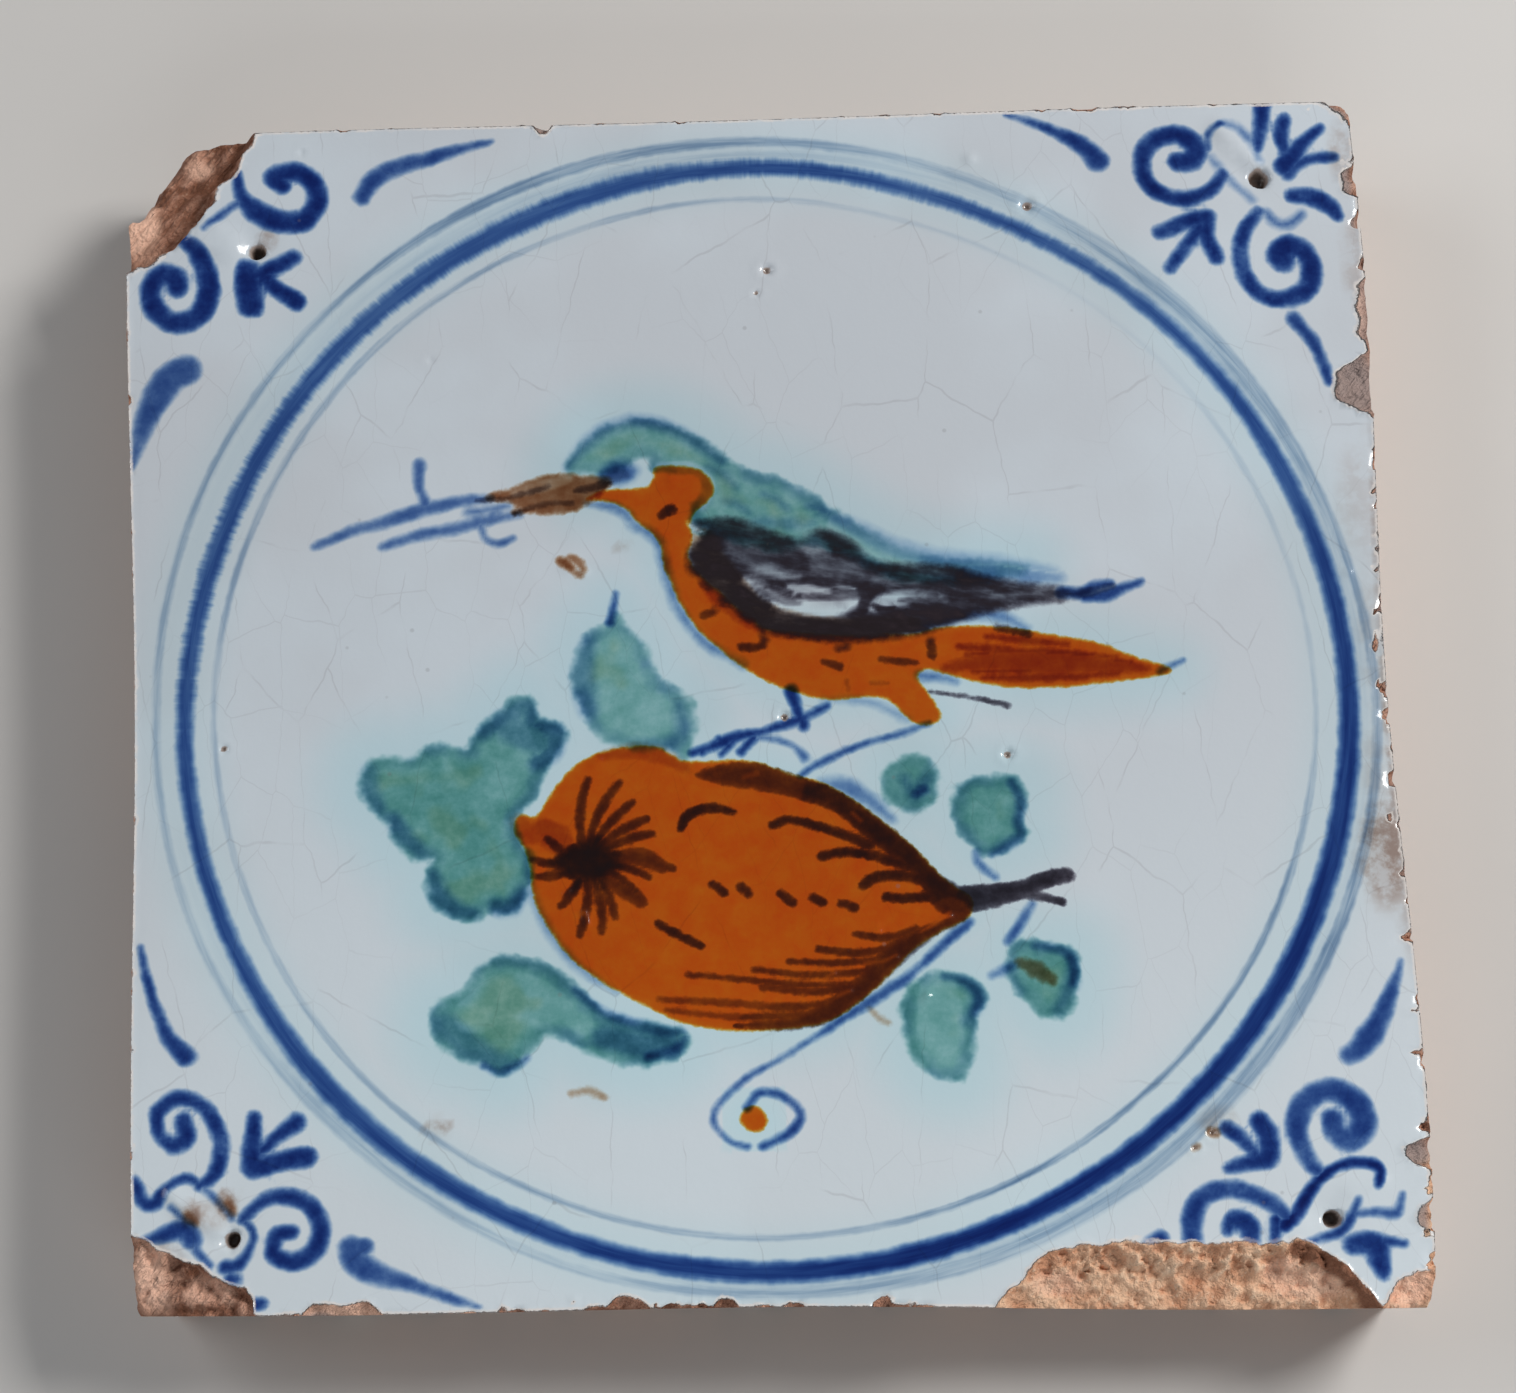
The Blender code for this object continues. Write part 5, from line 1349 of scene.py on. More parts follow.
def map_tile(tile, unit):
    """Lays the face, the sides and the back out flat, the face largest."""
    mesh = tile.data
    loops = whole_numbers(mesh.loops, "vertex_index")
    totals = whole_numbers(mesh.polygons, "loop_total")
    sums = np.add.reduceat(unit[loops], np.concatenate(((0,), np.cumsum(totals)[:-1])), axis=0)
    middles = np.repeat(sums / totals[:, None], totals, axis=0)
    at = unit[loops] + 0.5
    flat_map = np.zeros((len(loops), 2))
    on_face = middles[:, 2] > EDGE_LEVEL
    on_back = middles[:, 2] < -EDGE_LEVEL
    edge = MAP_GAP / 2
    beside = MAP_FACE + MAP_GAP
    beyond = beside + MAP_STRIP + MAP_GAP
    flat_map[on_face] = at[on_face, :2] * MAP_FACE + edge
    flat_map[on_back] = at[on_back, :2] * (1 - MAP_FACE - 2 * MAP_GAP) + beside + edge
    level, upright = (MAP_FACE, MAP_STRIP), (MAP_STRIP, MAP_FACE)
    strips = (
        (1, 1, (0, 2), (edge, beside), level), (1, -1, (0, 2), (edge, beyond), level),
        (0, 1, (2, 1), (beside, edge), upright), (0, -1, (2, 1), (beyond, edge), upright),
    )
    for axis, sign, axes, origin, size in strips:
        chosen = (sign * middles[:, axis] > EDGE_LEVEL) & ~on_face & ~on_back
        flat_map[chosen] = at[chosen][:, axes] * size + origin
    layer = mesh.uv_layers.new(name="OFBake")
    layer.uv.foreach_set("vector", flat_map.astype(np.float32).ravel())


# The colours, as linear light. A pigment's colour is what its full load leaves of the glaze's.
GLAZE_WHITE = (0.590, 0.645, 0.700, 1)
# GLAZE_BRIGHT is painted light: the white towards the bottom of the face.
GLAZE_BRIGHT = (0.735, 0.815, 0.860, 1)
GLAZE_GREY = (0.555, 0.590, 0.635, 1)
COBALT = (0.045, 0.117, 0.365, 1)
THIN_BLUE = (0.09, 0.165, 0.32, 1)
COPPER = (0.20, 0.45, 0.405, 1)
ORANGE = (0.88, 0.122, 0.002, 1)
BROWN = (0.26, 0.075, 0.025, 1)
MANGANESE = (0.055, 0.045, 0.062, 1)
MANGANESE_BODY = (0.036, 0.024, 0.030, 1)
HALO = (0.80, 0.98, 1.0, 1)
OLD_STAIN = (0.44, 0.29, 0.23, 1)
CRACK_TINT = (0.45, 0.41, 0.41, 1)
PIT_DEEPEST = (0.050, 0.030, 0.022, 1)
PIT_RUST = (0.30, 0.215, 0.17, 1)
CRACK_DIRT = (0.17, 0.155, 0.155, 1)
GLAZE_SECTION_AND_HIGHLIGHT = (0.80, 0.74, 0.70, 1)
# CLAY_DARK_AND_SHADE is both a dark tone of the clay and its painted shade. CLAY_PALE, CLAY_SAND and
# CLAY_RED are the clay's tones, and also give painted light on its crests and painted shade in its hollows.
CLAY_DARK_AND_SHADE = (0.225, 0.082, 0.040, 1)
MORTAR_DARK = (0.60, 0.455, 0.345, 1)
MORTAR_PALE = (0.90, 0.755, 0.61, 1)
CLAY_DIRTY = (0.330, 0.265, 0.250, 1)
CLAY_PINK = (0.98, 0.60, 0.44, 1)
CLAY_MIDDLE = (0.54, 0.270, 0.180, 1)
CLAY_PALE = (0.92, 0.54, 0.39, 1)
CLAY_RED = (0.64, 0.31, 0.175, 1)
CLAY_TAN = (0.88, 0.55, 0.355, 1)
CLAY_SAND = (0.94, 0.70, 0.50, 1)

# How tan the clay of the sides is, between pink and sandy.
SIDE_TAN = 0.85

GLAZE_ROUGHNESS = 0.17
CLAY_ROUGHNESS = 0.88
BACK_ROUGHNESS = 0.92
FLOOR_ROUGHNESS = 0.7

# Faces that lie farther than this from any break, in mm, show no clay.
CLEAR_OF_CLAY = -0.7

# Side faces that lie farther than this past the end of the glaze, in mm, are clay alone.
WELL_PAST_GLAZE = 1.2


# Noises of the materials: cells per mm, how many finer layers lie on them, and the share of these.
CLAY_PATCHES = (0.36, 2.0, 0.6)
CLAY_GRAIN = (1.05, 4.0, 0.62)
CLAY_FLAKES = (0.62, 3.0, 0.6)
DRAG_SCALE = (0.30, 0.30, 2.6)
DRAG_LINES = (0.8, 4.0, 0.65)
GRIME = (0.07, 5.0, 0.62)
MORTAR_CRUST = (0.11, 6.0, 0.66)
MORTAR_CRUMBS = (1.3, 4.0, 0.7)
FRAYED_EDGE = (3.2, 2.0, 0.65)
RAGGED_EDGE = (1.15, 3.0, 0.62)
WAVY_EDGE = (0.62, 2.0, 0.5)
BROAD_TONES = (0.03, 3.0, 0.55)
MOTTLES = (0.42, 4.0, 0.62)
DRIFTS = (0.17, 2.0)
FLOOR_TONES = (0.05, 3.0)
BRUSH_HAIRS = (1.0, 2.0, 0.6)
STREAKS = (1.0, 3.0, 0.6)

# Ranges: a low and a high value of what is read, and what each of them gives where not 0 and 1.
# Painted light: the glaze brightens towards the bottom.
BRIGHT_LOWER_PART = (-62.0, 20.0, 0.55, 0.0)
HALO_NEAR_COLOUR = (-8.0, 0.0, 0.0, 0.9)
HALO_NEAR_RING = (1.0, 7.0, 0.45, 0.0)
LEAF_RIM_OUTSIDE = (-0.5, 0.3)
LEAF_RIM_INSIDE = (0.4, 1.8, 1.0, 0.0)
LEAF_RIM_DRIFT = (0.42, 0.60, 0.06, 0.24)
UNDER_OCHRE = (-0.2, 2.4, 1.0, 0.12)
YELLOWED_DRIFT = (0.36, 0.50, 0.045, 0.0)
YELLOWED_DEPTH = (1.0, 2.6)
FEATHER_LOADS = (0.32, 0.68, -0.34, 0.26)
STAIN_MOTTLES = (0.36, 0.60, 0.25, 1.0)
DUST_SPECKS = (0.02, 0.05, 1.0, 0.0)
PIT_RUST_BAND = (0.10, 0.42, 0.0, 0.85)
PIT_DEEPEST_BAND = (0.40, 0.85, 0.0, 0.85)
SECTION_AND_HIGHLIGHT_BAND = (-0.42, -0.12, 0.0, 0.8)
SECTION_AND_HIGHLIGHT_MOTTLES = (0.38, 0.56, 0.3, 1.0)
CLAY_EDGE = (-0.05, 0.14)
STREAK_LOADS = (0.84, 1.14)

# Keeps a place's x and y and drops its height.
ON_THE_FACE = (1.0, 1.0, 0.0)


class Shader:
    """Short ways to add nodes to one node tree."""

    def __init__(self, tree):
        self.tree = tree

    def node(self, kind, inputs=(), **settings):
        node = self.tree.nodes.new(kind)
        for name, value in settings.items():
            setattr(node, name, value)
        for key, value in dict(inputs).items():
            self.put(node.inputs[key], value)
        return node

    def put(self, socket, value):
        if isinstance(value, bpy.types.NodeSocket):
            self.tree.links.new(value, socket)
        else:
            socket.default_value = value

    def math(self, operation, a, b=0.0, c=0.0):
        return self.node("ShaderNodeMath", {0: a, 1: b, 2: c}, operation=operation).outputs[0]

    def times(self, a, b):
        return self.math("MULTIPLY", a, b)

    def times_plus(self, a, b, c):
        return self.math("MULTIPLY_ADD", a, b, c)

    def less(self, a, b):
        return self.math("SUBTRACT", a, b)

    def larger(self, a, b):
        return self.math("MAXIMUM", a, b)

    def scaled(self, vector, scale):
        return self.vector("MULTIPLY", vector, scale)[0]

    def noise(self, vector, scale, detail=2.0, roughness=0.5):
        inputs = {"Vector": vector, "Scale": scale, "Detail": detail, "Roughness": roughness}
        return self.node("ShaderNodeTexNoise", inputs, noise_dimensions="3D").outputs[0]

    def waver(self, vector, *form):
        """Noise about zero."""
        return self.less(self.noise(vector, *form), 0.5)

    def speckle(self, vector, scale, **settings):
        """How far each place is from the nearest point, or edge, of a net of cells."""
        inputs = {"Vector": vector, "Scale": scale}
        return self.node("ShaderNodeTexVoronoi", inputs, **settings).outputs["Distance"]

    def turned(self, vector, angle):
        inputs = {"Vector": vector, "Angle": angle}
        return self.node("ShaderNodeVectorRotate", inputs, rotation_type="Z_AXIS").outputs[0]

    def vector(self, operation, a, b=None):
        inputs = {0: a} if b is None else {0: a, 1: b}
        return self.node("ShaderNodeVectorMath", inputs, operation=operation).outputs

    def ramp(self, value, low, high, to_low=0.0, to_high=1.0, smooth=True):
        kind = "SMOOTHSTEP" if smooth else "LINEAR"
        inputs = {0: value, 1: low, 2: high, 3: to_low, 4: to_high}
        return self.node("ShaderNodeMapRange", inputs, interpolation_type=kind, clamp=True).outputs[0]

    def mix(self, factor, a, b, blend="MIX"):
        node = self.node("ShaderNodeMix", data_type="RGBA", blend_type=blend, clamp_factor=True)
        self.put(node.inputs[0], factor)
        self.put(node.inputs[6], a)
        self.put(node.inputs[7], b)
        return node.outputs[2]

    def attribute(self, name):
        return self.node("ShaderNodeAttribute", attribute_name=name).outputs["Fac"]

    def curve(self, value, points):
        """A value read from a smooth curve through these points, from 0 to 1 each way."""
        node = self.node("ShaderNodeFloatCurve", {"Value": value})
        line = node.mapping.curves[0]
        line.points[0].location = points[0]
        line.points[1].location = points[-1]
        for point in points[1:-1]:
            line.points.new(*point)
        node.mapping.update()
        return node.outputs[0]

    def group(self, group, inputs):
        node = self.node("ShaderNodeGroup")
        node.node_tree = group
        for key, value in inputs.items():
            self.put(node.inputs[key], value)
        return node.outputs


def new_group(name, inputs, outputs):
    """A node group with named sockets: its shader, its inputs and its output node."""
    tree = bpy.data.node_groups.new(name, "ShaderNodeTree")
    for label, kind in inputs:
        tree.interface.new_socket(label, in_out="INPUT", socket_type=kind)
    for label, kind in outputs:
        tree.interface.new_socket(label, in_out="OUTPUT", socket_type=kind)
    shader = Shader(tree)
    given = tree.nodes.new("NodeGroupInput").outputs
    taken = tree.nodes.new("NodeGroupOutput").inputs
    return shader, given, taken


FLOAT = "NodeSocketFloat"
VECTOR = "NodeSocketVector"
COLOUR = "NodeSocketColor"


def pigment_group():
    """What is left of a colour under some load of a pigment, as with a stained glass."""
    shader, given, taken = new_group(
        "pigment", (("Under", COLOUR), ("Pigment", COLOUR), ("Load", FLOAT)), (("Color", COLOUR),)
    )
    pigment = shader.node("ShaderNodeSeparateColor", {0: given["Pigment"]}).outputs
    left = [shader.math("POWER", part, given["Load"]) for part in pigment]
    passed = shader.node("ShaderNodeCombineColor", {0: left[0], 1: left[1], 2: left[2]}).outputs[0]
    shader.put(taken["Color"], shader.mix(1.0, given["Under"], passed, "MULTIPLY"))
    return shader.tree


def brush_group():
    """The cover of a brushed layer: a soft ragged edge, clouds inside, and a pooled core."""
    shader, given, taken = new_group(
        "brushed_layer",
        (("Inside", FLOAT), ("Ragged", FLOAT), ("Clouds", FLOAT), ("Softness", FLOAT),
         ("Raggedness", FLOAT), ("Mottling", FLOAT), ("Pooling", FLOAT)),
        (("Load", FLOAT), ("Depth", FLOAT)),
    )
    depth = shader.times_plus(given["Ragged"], given["Raggedness"], given["Inside"])
    low = shader.times(given["Softness"], -1.0)
    cover = shader.ramp(depth, low, given["Softness"])
    load = shader.times_plus(given["Clouds"], given["Mottling"], 1.0)
    core = shader.ramp(depth, 0.0, 0.9, -1.0, 1.0)
    load = shader.times_plus(core, given["Pooling"], load)
    load = shader.times(shader.larger(load, 0.0), cover)
    shader.put(taken["Load"], load)
    shader.put(taken["Depth"], depth)
    return shader.tree


def ring_group():
    """A painted ring: how much pigment it left, with its width and load given for each place."""
    shader, given, taken = new_group(
        "painted_ring",
        (("Away", FLOAT), ("Radius", FLOAT), ("Width", FLOAT), ("Load", FLOAT), ("Edge", FLOAT),
         ("Softness", FLOAT)),
        (("Load", FLOAT),),
    )
    off = shader.math("ABSOLUTE", shader.less(given["Away"], given["Radius"]))
    depth = shader.less(shader.times(given["Width"], 0.5), off)
    depth = shader.math("ADD", depth, given["Edge"])
    low = shader.times(given["Softness"], -1.0)
    cover = shader.ramp(depth, low, given["Softness"])
    shader.put(taken["Load"], shader.times(cover, given["Load"]))
    return shader.tree


# How far the layers of the broken clay are turned from the tile's own directions, and how many
# layers a mm holds along, across and down.
LAYER_TURN = -0.89
LAYER_SCALE = (0.22, 1.4, 0.8)

# Cells per mm of the pale grains in the clay, the dust on the glaze and the pits of the back.
GROG_SIZE = 1.15
DUST_SIZE = 0.16
BACK_PIT_SIZE = 0.34

# The two nets of cracks: cells per mm, and the width of a crack as a share of a cell.
CRACK_NETS = ((0.115, 0.007), (0.21, 0.008))


def clay_group():
    """Fired clay, broken or cut: its colour, with painted shade in its hollows, seams and creases and
    painted light on its crests, and the height of its grain, in mm.
    """
    shader, given, taken = new_group(
        "fired_clay",
        (("Place", VECTOR), ("Tan", FLOAT), ("Pink_and_painted_light", FLOAT), ("Dark", FLOAT), ("Dirt", FLOAT),
         ("Relief", FLOAT)),
        (("Color", COLOUR), ("Height", FLOAT)),
    )
    place = given["Place"]
    patches = shader.noise(place, *CLAY_PATCHES)
    grain = shader.noise(place, *CLAY_GRAIN)
    specks = shader.speckle(place, GROG_SIZE)
    flakes = shader.math("ABSOLUTE", shader.waver(place, *CLAY_FLAKES))
    layers = shader.scaled(shader.turned(place, LAYER_TURN), LAYER_SCALE)
    layers = shader.noise(layers, *STREAKS)
    pinkness = shader.less(1.0, given["Tan"])
    # Painted shade in the hollows and painted light on the crests of the broken clay's relief.
    hollow = shader.ramp(given["Relief"], -0.42, 0.02, 1.0, 0.0)
    crest = shader.ramp(given["Relief"], 0.02, 0.45)
    pink = shader.mix(shader.ramp(patches, 0.34, 0.60), CLAY_DARK_AND_SHADE, CLAY_MIDDLE)
    pink = shader.mix(shader.ramp(grain, 0.46, 0.72, 0.0, 0.5), pink, CLAY_PALE)
    pink = shader.mix(shader.times(crest, 0.55), pink, CLAY_PALE)
    pink = shader.mix(shader.times(hollow, 0.70), pink, CLAY_DARK_AND_SHADE)
    sand = shader.mix(shader.ramp(patches, 0.34, 0.56), CLAY_RED, CLAY_TAN)
    sand = shader.mix(shader.ramp(grain, 0.48, 0.70, 0.0, 0.45), sand, CLAY_SAND)
    sand = shader.mix(shader.times(crest, 0.5), sand, CLAY_SAND)
    sand = shader.mix(shader.times(hollow, 0.55), sand, CLAY_RED)
    # Painted shade in the seams between the clay's layers and in the creases between its flakes.
    seam_shade = shader.times(shader.ramp(layers, 0.36, 0.46, 0.55, 0.0), pinkness)
    colour = shader.mix(given["Tan"], pink, sand)
    grog_share = shader.ramp(given["Tan"], 0.0, 1.0, 0.15, 0.4)
    grog = shader.times(shader.ramp(specks, 0.10, 0.22, 1.0, 0.0), grog_share)
    colour = shader.mix(grog, colour, CLAY_SAND)
    # Pink clay, and painted light on break slopes turned from the light.
    colour = shader.mix(shader.times(given["Pink_and_painted_light"], 0.95), colour, CLAY_PINK)
    crease_shade = shader.larger(seam_shade, shader.ramp(flakes, 0.0, 0.03, 0.20, 0.0))
    crease_shade = shader.times(crease_shade, shader.times_plus(given["Pink_and_painted_light"], -0.6, 1.0))
    colour = shader.mix(crease_shade, colour, CLAY_DARK_AND_SHADE)
    # Painted shade where Dark is given: the long chip's steep end, the break's step and its crease.
    colour = shader.mix(shader.times(given["Dark"], 0.85), colour, CLAY_DARK_AND_SHADE)
    colour = shader.mix(shader.times(given["Dirt"], 0.85), colour, CLAY_DIRTY)
    height = shader.times_plus(flakes, 0.8, shader.times(grain, 0.75))
    height = shader.times_plus(shader.times(layers, pinkness), 1.3, height)
    shader.put(taken["Color"], colour)
    shader.put(taken["Height"], height)
    return shader.tree


def craze_group():
    """The fine net of cracks in an old glaze, from 0 to 1 where a crack runs."""
    shader, given, taken = new_group(
        "crazing", (("Place", VECTOR),), (("Cracks", FLOAT),)
    )
    wobble = shader.node("ShaderNodeTexNoise", {"Vector": given["Place"], "Scale": 0.35})
    wobble = shader.scaled(wobble.outputs["Color"], (1.1, 1.1, 1.1))
    bent = shader.vector("ADD", given["Place"], wobble)[0]
    stretched = shader.scaled(bent, (1.0, 0.48, 1.0))
    nets = []
    for scale, width in CRACK_NETS:
        cells = shader.speckle(
            stretched, scale, feature="DISTANCE_TO_EDGE", voronoi_dimensions="2D"
        )
        nets.append(shader.ramp(cells, width * 0.3, width * 1.6, 1.0, 0.0))
    patchy = shader.ramp(shader.noise(given["Place"], 0.045, 2.0), 0.40, 0.62)
    fine = shader.times(nets[1], patchy)
    broken = shader.ramp(shader.noise(given["Place"], 0.14, 3.0), 0.42, 0.60)
    coarse = shader.times(nets[0], broken)
    shader.put(taken["Cracks"], shader.larger(coarse, shader.times(fine, 0.7)))
    return shader.tree


# The rings, drawn by hand round one middle: the radius, width and load of each, read at shares of
# a full turn that starts at the left and runs down, right and up.
RING_MIDDLE = (0.72, -0.48, 0.0)
RING_SHARES = [i / 16 for i in range(17)]
LEAST_RADIUS = 55.0
RADIUS_RANGE = 10.0
WIDEST_RING = 3.0
HEAVIEST_RING = 2.0
RINGS = (
    dict(edge=0.50, hairy=1.0, soft=0.60,
         radius=(59.85, 60.1, 60.25, 59.9, 59.7, 59.7, 59.75, 59.85, 59.85, 59.7, 59.6, 59.4, 60.05,
                 59.7, 59.55, 59.4, 59.85),
         width=(1.4, 1.4, 1.9, 1.65, 1.8, 1.8, 1.85, 2.0, 1.75, 1.6, 1.4, 1.4, 1.55, 2.2, 1.9, 1.8, 1.4),
         load=(1.02, 1.10, 1.05, 1.25, 1.35, 1.7, 1.5, 1.4, 1.25, 1.05, 0.92, 0.92, 1.0, 0.86, 0.90,
               0.94, 1.02)),
    dict(edge=0.36, hairy=0.12, soft=0.30,
         radius=(62.75, 63.0, 62.4, 62.4, 61.9, 62.3, 62.4, 62.75, 62.7, 62.0, 62.2, 62.6, 63.1, 63.4,
                 63.4, 63.2, 62.75),
         width=(0.8, 0.8, 1.1, 0.8, 1.0, 1.5, 1.6, 1.1, 0.9, 1.2, 1.5, 1.1, 1.1, 1.2, 0.8, 0.8, 0.8),
         load=(0.18, 0.17, 0.15, 0.17, 0.20, 0.24, 0.25, 0.45, 0.26, 0.22, 0.18, 0.18, 0.32, 0.44,
               0.31, 0.26, 0.18)),
    dict(edge=0.30, hairy=0.12, soft=0.24,
         radius=(56.9, 56.8, 57.0, 56.5, 56.2, 56.05, 56.05, 56.25, 56.4, 56.2, 56.2, 55.8, 56.4, 56.5,
                 56.8, 56.7, 56.9),
         width=(0.6, 0.6, 0.7, 0.6, 0.6, 0.6, 0.6, 0.7, 0.5, 0.6, 0.6, 0.6, 0.6, 0.6, 0.7, 0.7, 0.6),
         load=(0.13, 0.20, 0.20, 0.26, 0.19, 0.50, 0.42, 0.38, 0.12, 0.09, 0.03, 0.06, 0.14, 0.26,
               0.20, 0.28, 0.13)),
    dict(edge=0.50, hairy=0.12, soft=0.70,
         radius=(61.4,) * 17,
         width=(1.6,) * 17,
         load=(0.00, 0.03, 0.08, 0.02, 0.09, 0.08, 0.10, 0.05, 0.06, 0.14, 0.15, 0.06, 0.12, 0.12,
               0.05, 0.02, 0.00)),
)
# How many hairs of the brush, and streaks of its paint, lie round the ring and across it.
HAIRS_ROUND = (95.0, 95.0, 1.0)
STREAKS_ROUND = (5.0, 5.0, 0.0)
STREAKS_ACROSS = 1.5

# How hairy the main ring's edge is at shares of a full turn.
HAIRY_SHARES = (0.0, 0.1, 0.3, 0.6, 0.68, 0.75, 0.82, 0.93, 1.0)
HAIRY_EDGES = (0.25, 0.05, 0.05, 0.10, 0.45, 0.55, 0.65, 0.80, 0.25)


def ring_loads(shader, place, wavy, ring_tree):
    """The blue that the main ring and the thin ones beside it leave at each place."""
    level = shader.scaled(place, ON_THE_FACE)
    centred = shader.vector("SUBTRACT", level, RING_MIDDLE)[0]
    across, up, _ = shader.node("ShaderNodeSeparateXYZ", {0: centred}).outputs
    turn = shader.math("ARCTAN2", up, across)
    share = shader.ramp(turn, -math.pi, math.pi, smooth=False)
    away = shader.vector("LENGTH", centred)["Value"]
    hairiness = shader.curve(share, list(zip(HAIRY_SHARES, HAIRY_EDGES)))
    direction = shader.vector("NORMALIZE", centred)[0]
    hairs = shader.waver(shader.scaled(direction, HAIRS_ROUND), *BRUSH_HAIRS)
    hairs = shader.times(hairs, hairiness)
    lengthwise = shader.node("ShaderNodeCombineXYZ", {2: shader.times(away, STREAKS_ACROSS)}).outputs[0]
    lengthwise = shader.vector("ADD", shader.scaled(direction, STREAKS_ROUND), lengthwise)[0]
    streaks = shader.ramp(shader.noise(lengthwise, *STREAKS), 0.30, 0.70, *STREAK_LOADS)
    totals = []
    for ring in RINGS:
        radius = [(r - LEAST_RADIUS) / RADIUS_RANGE for r in ring["radius"]]
        radius = shader.curve(share, list(zip(RING_SHARES, radius)))
        width = shader.curve(share, list(zip(RING_SHARES, [w / WIDEST_RING for w in ring["width"]])))
        load = shader.curve(share, list(zip(RING_SHARES, [v / HEAVIEST_RING for v in ring["load"]])))
        edge = shader.times(wavy, ring["edge"])
        totals.append(shader.group(ring_tree, {
            "Away": away,
            "Radius": shader.times_plus(radius, RADIUS_RANGE, LEAST_RADIUS),
            "Width": shader.times(width, WIDEST_RING),
            "Load": shader.times(load, HEAVIEST_RING),
            "Edge": shader.times_plus(hairs, ring["hairy"], edge),
            "Softness": ring["soft"],
        })["Load"])
    thin = shader.math("ADD", shader.math("ADD", totals[1], totals[2]), totals[3])
    thin = shader.times(thin, shader.ramp(streaks, *STREAK_LOADS, 0.45, 1.35, smooth=False))
    return shader.times(totals[0], streaks), thin


def new_material(name):
    material = bpy.data.materials.new(name)
    material.use_nodes = True
    material.node_tree.nodes.clear()
    shader = Shader(material.node_tree)
    surface = shader.node("ShaderNodeBsdfPrincipled")
    output = shader.node("ShaderNodeOutputMaterial", {"Surface": surface.outputs[0]})
    output.is_active_output = True
    coordinates = shader.node("ShaderNodeTexCoord").outputs["Object"]
    place = shader.scaled(coordinates, (1 / MM, 1 / MM, 1 / MM))
    return material, shader, surface, place


def finish_surface(shader, surface, colour, height, roughness):
    """Puts the colour, the roughness and the fine relief, in mm, on a surface."""
    bump = shader.node("ShaderNodeBump", {"Height": height, "Distance": MM, "Strength": 1.0})
    shader.put(surface.inputs["Base Color"], colour)
    shader.put(surface.inputs["Roughness"], roughness)
    shader.put(surface.inputs["Normal"], bump.outputs[0])


def add_breaks(shader, groups, place, mottle, colour, height):
    """Lays the clay where glaze is missing over the glaze: the colour, height and roughness."""
    frayed = shader.waver(place, *FRAYED_EDGE)
    past = shader.times_plus(frayed, 0.34, shader.attribute("bare_clay"))
    # A paler band along the glaze's broken edge: the glaze's own white section, and a painted highlight
    # where the edge catches the light.
    glaze_section_and_highlight = shader.ramp(past, *SECTION_AND_HIGHLIGHT_BAND)
    glaze_section_and_highlight = shader.times(glaze_section_and_highlight, shader.ramp(mottle, *SECTION_AND_HIGHLIGHT_MOTTLES))
    colour = shader.mix(glaze_section_and_highlight, colour, GLAZE_SECTION_AND_HIGHLIGHT)
    clay = shader.group(groups["clay"], {
        "Place": place, "Tan": shader.attribute("tan_clay"), "Pink_and_painted_light": shader.attribute("pink_clay_and_painted_light"),
        "Dark": shader.attribute("clay_painted_shade"), "Dirt": shader.attribute("dirty_clay"),
        "Relief": shader.attribute("clay_relief"),
    })
    clay_cover = shader.ramp(past, *CLAY_EDGE)
    colour = shader.mix(clay_cover, colour, clay["Color"])
    height = shader.times(height, shader.less(1.0, clay_cover))
    height = shader.times_plus(clay["Height"], clay_cover, height)
    return colour, height, shader.ramp(clay_cover, 0.0, 1.0, GLAZE_ROUGHNESS, CLAY_ROUGHNESS)


# How a brushed layer looks: the softness and the raggedness of its edge, the mottling of its load,
# and the pooling in its core. The softness of the dark layer grows from the lines to the wing.
OCHRE_BRUSH = (0.26, 0.55, 0.5, 0.05)
LEAF_BRUSH = (0.60, 1.3, 1.5, 0.0)
UMBER_BRUSH = (0.36, 0.7, 1.2, 0.1)
LINE_BRUSH = (0.40, 0.55, 1.5, 0.24)
WASH_BRUSH = (0.60, 0.7, 1.4, 0.2)
DARK_SOFTNESS = 0.22
WING_SOFTNESS = 0.34
DARK_BRUSH = (0.62, 1.2, 0.20)
FEATHER_TURN = 0.20
FEATHER_SCALE = (0.22, 0.62, 0.0)
BLUE_STRENGTH = 1.20
MAIN_RADIUS = 60.0
GLAZE_DIMPLES = 0.034
CRACK_STRENGTH = 0.17
DUST_STRENGTH = 0.25


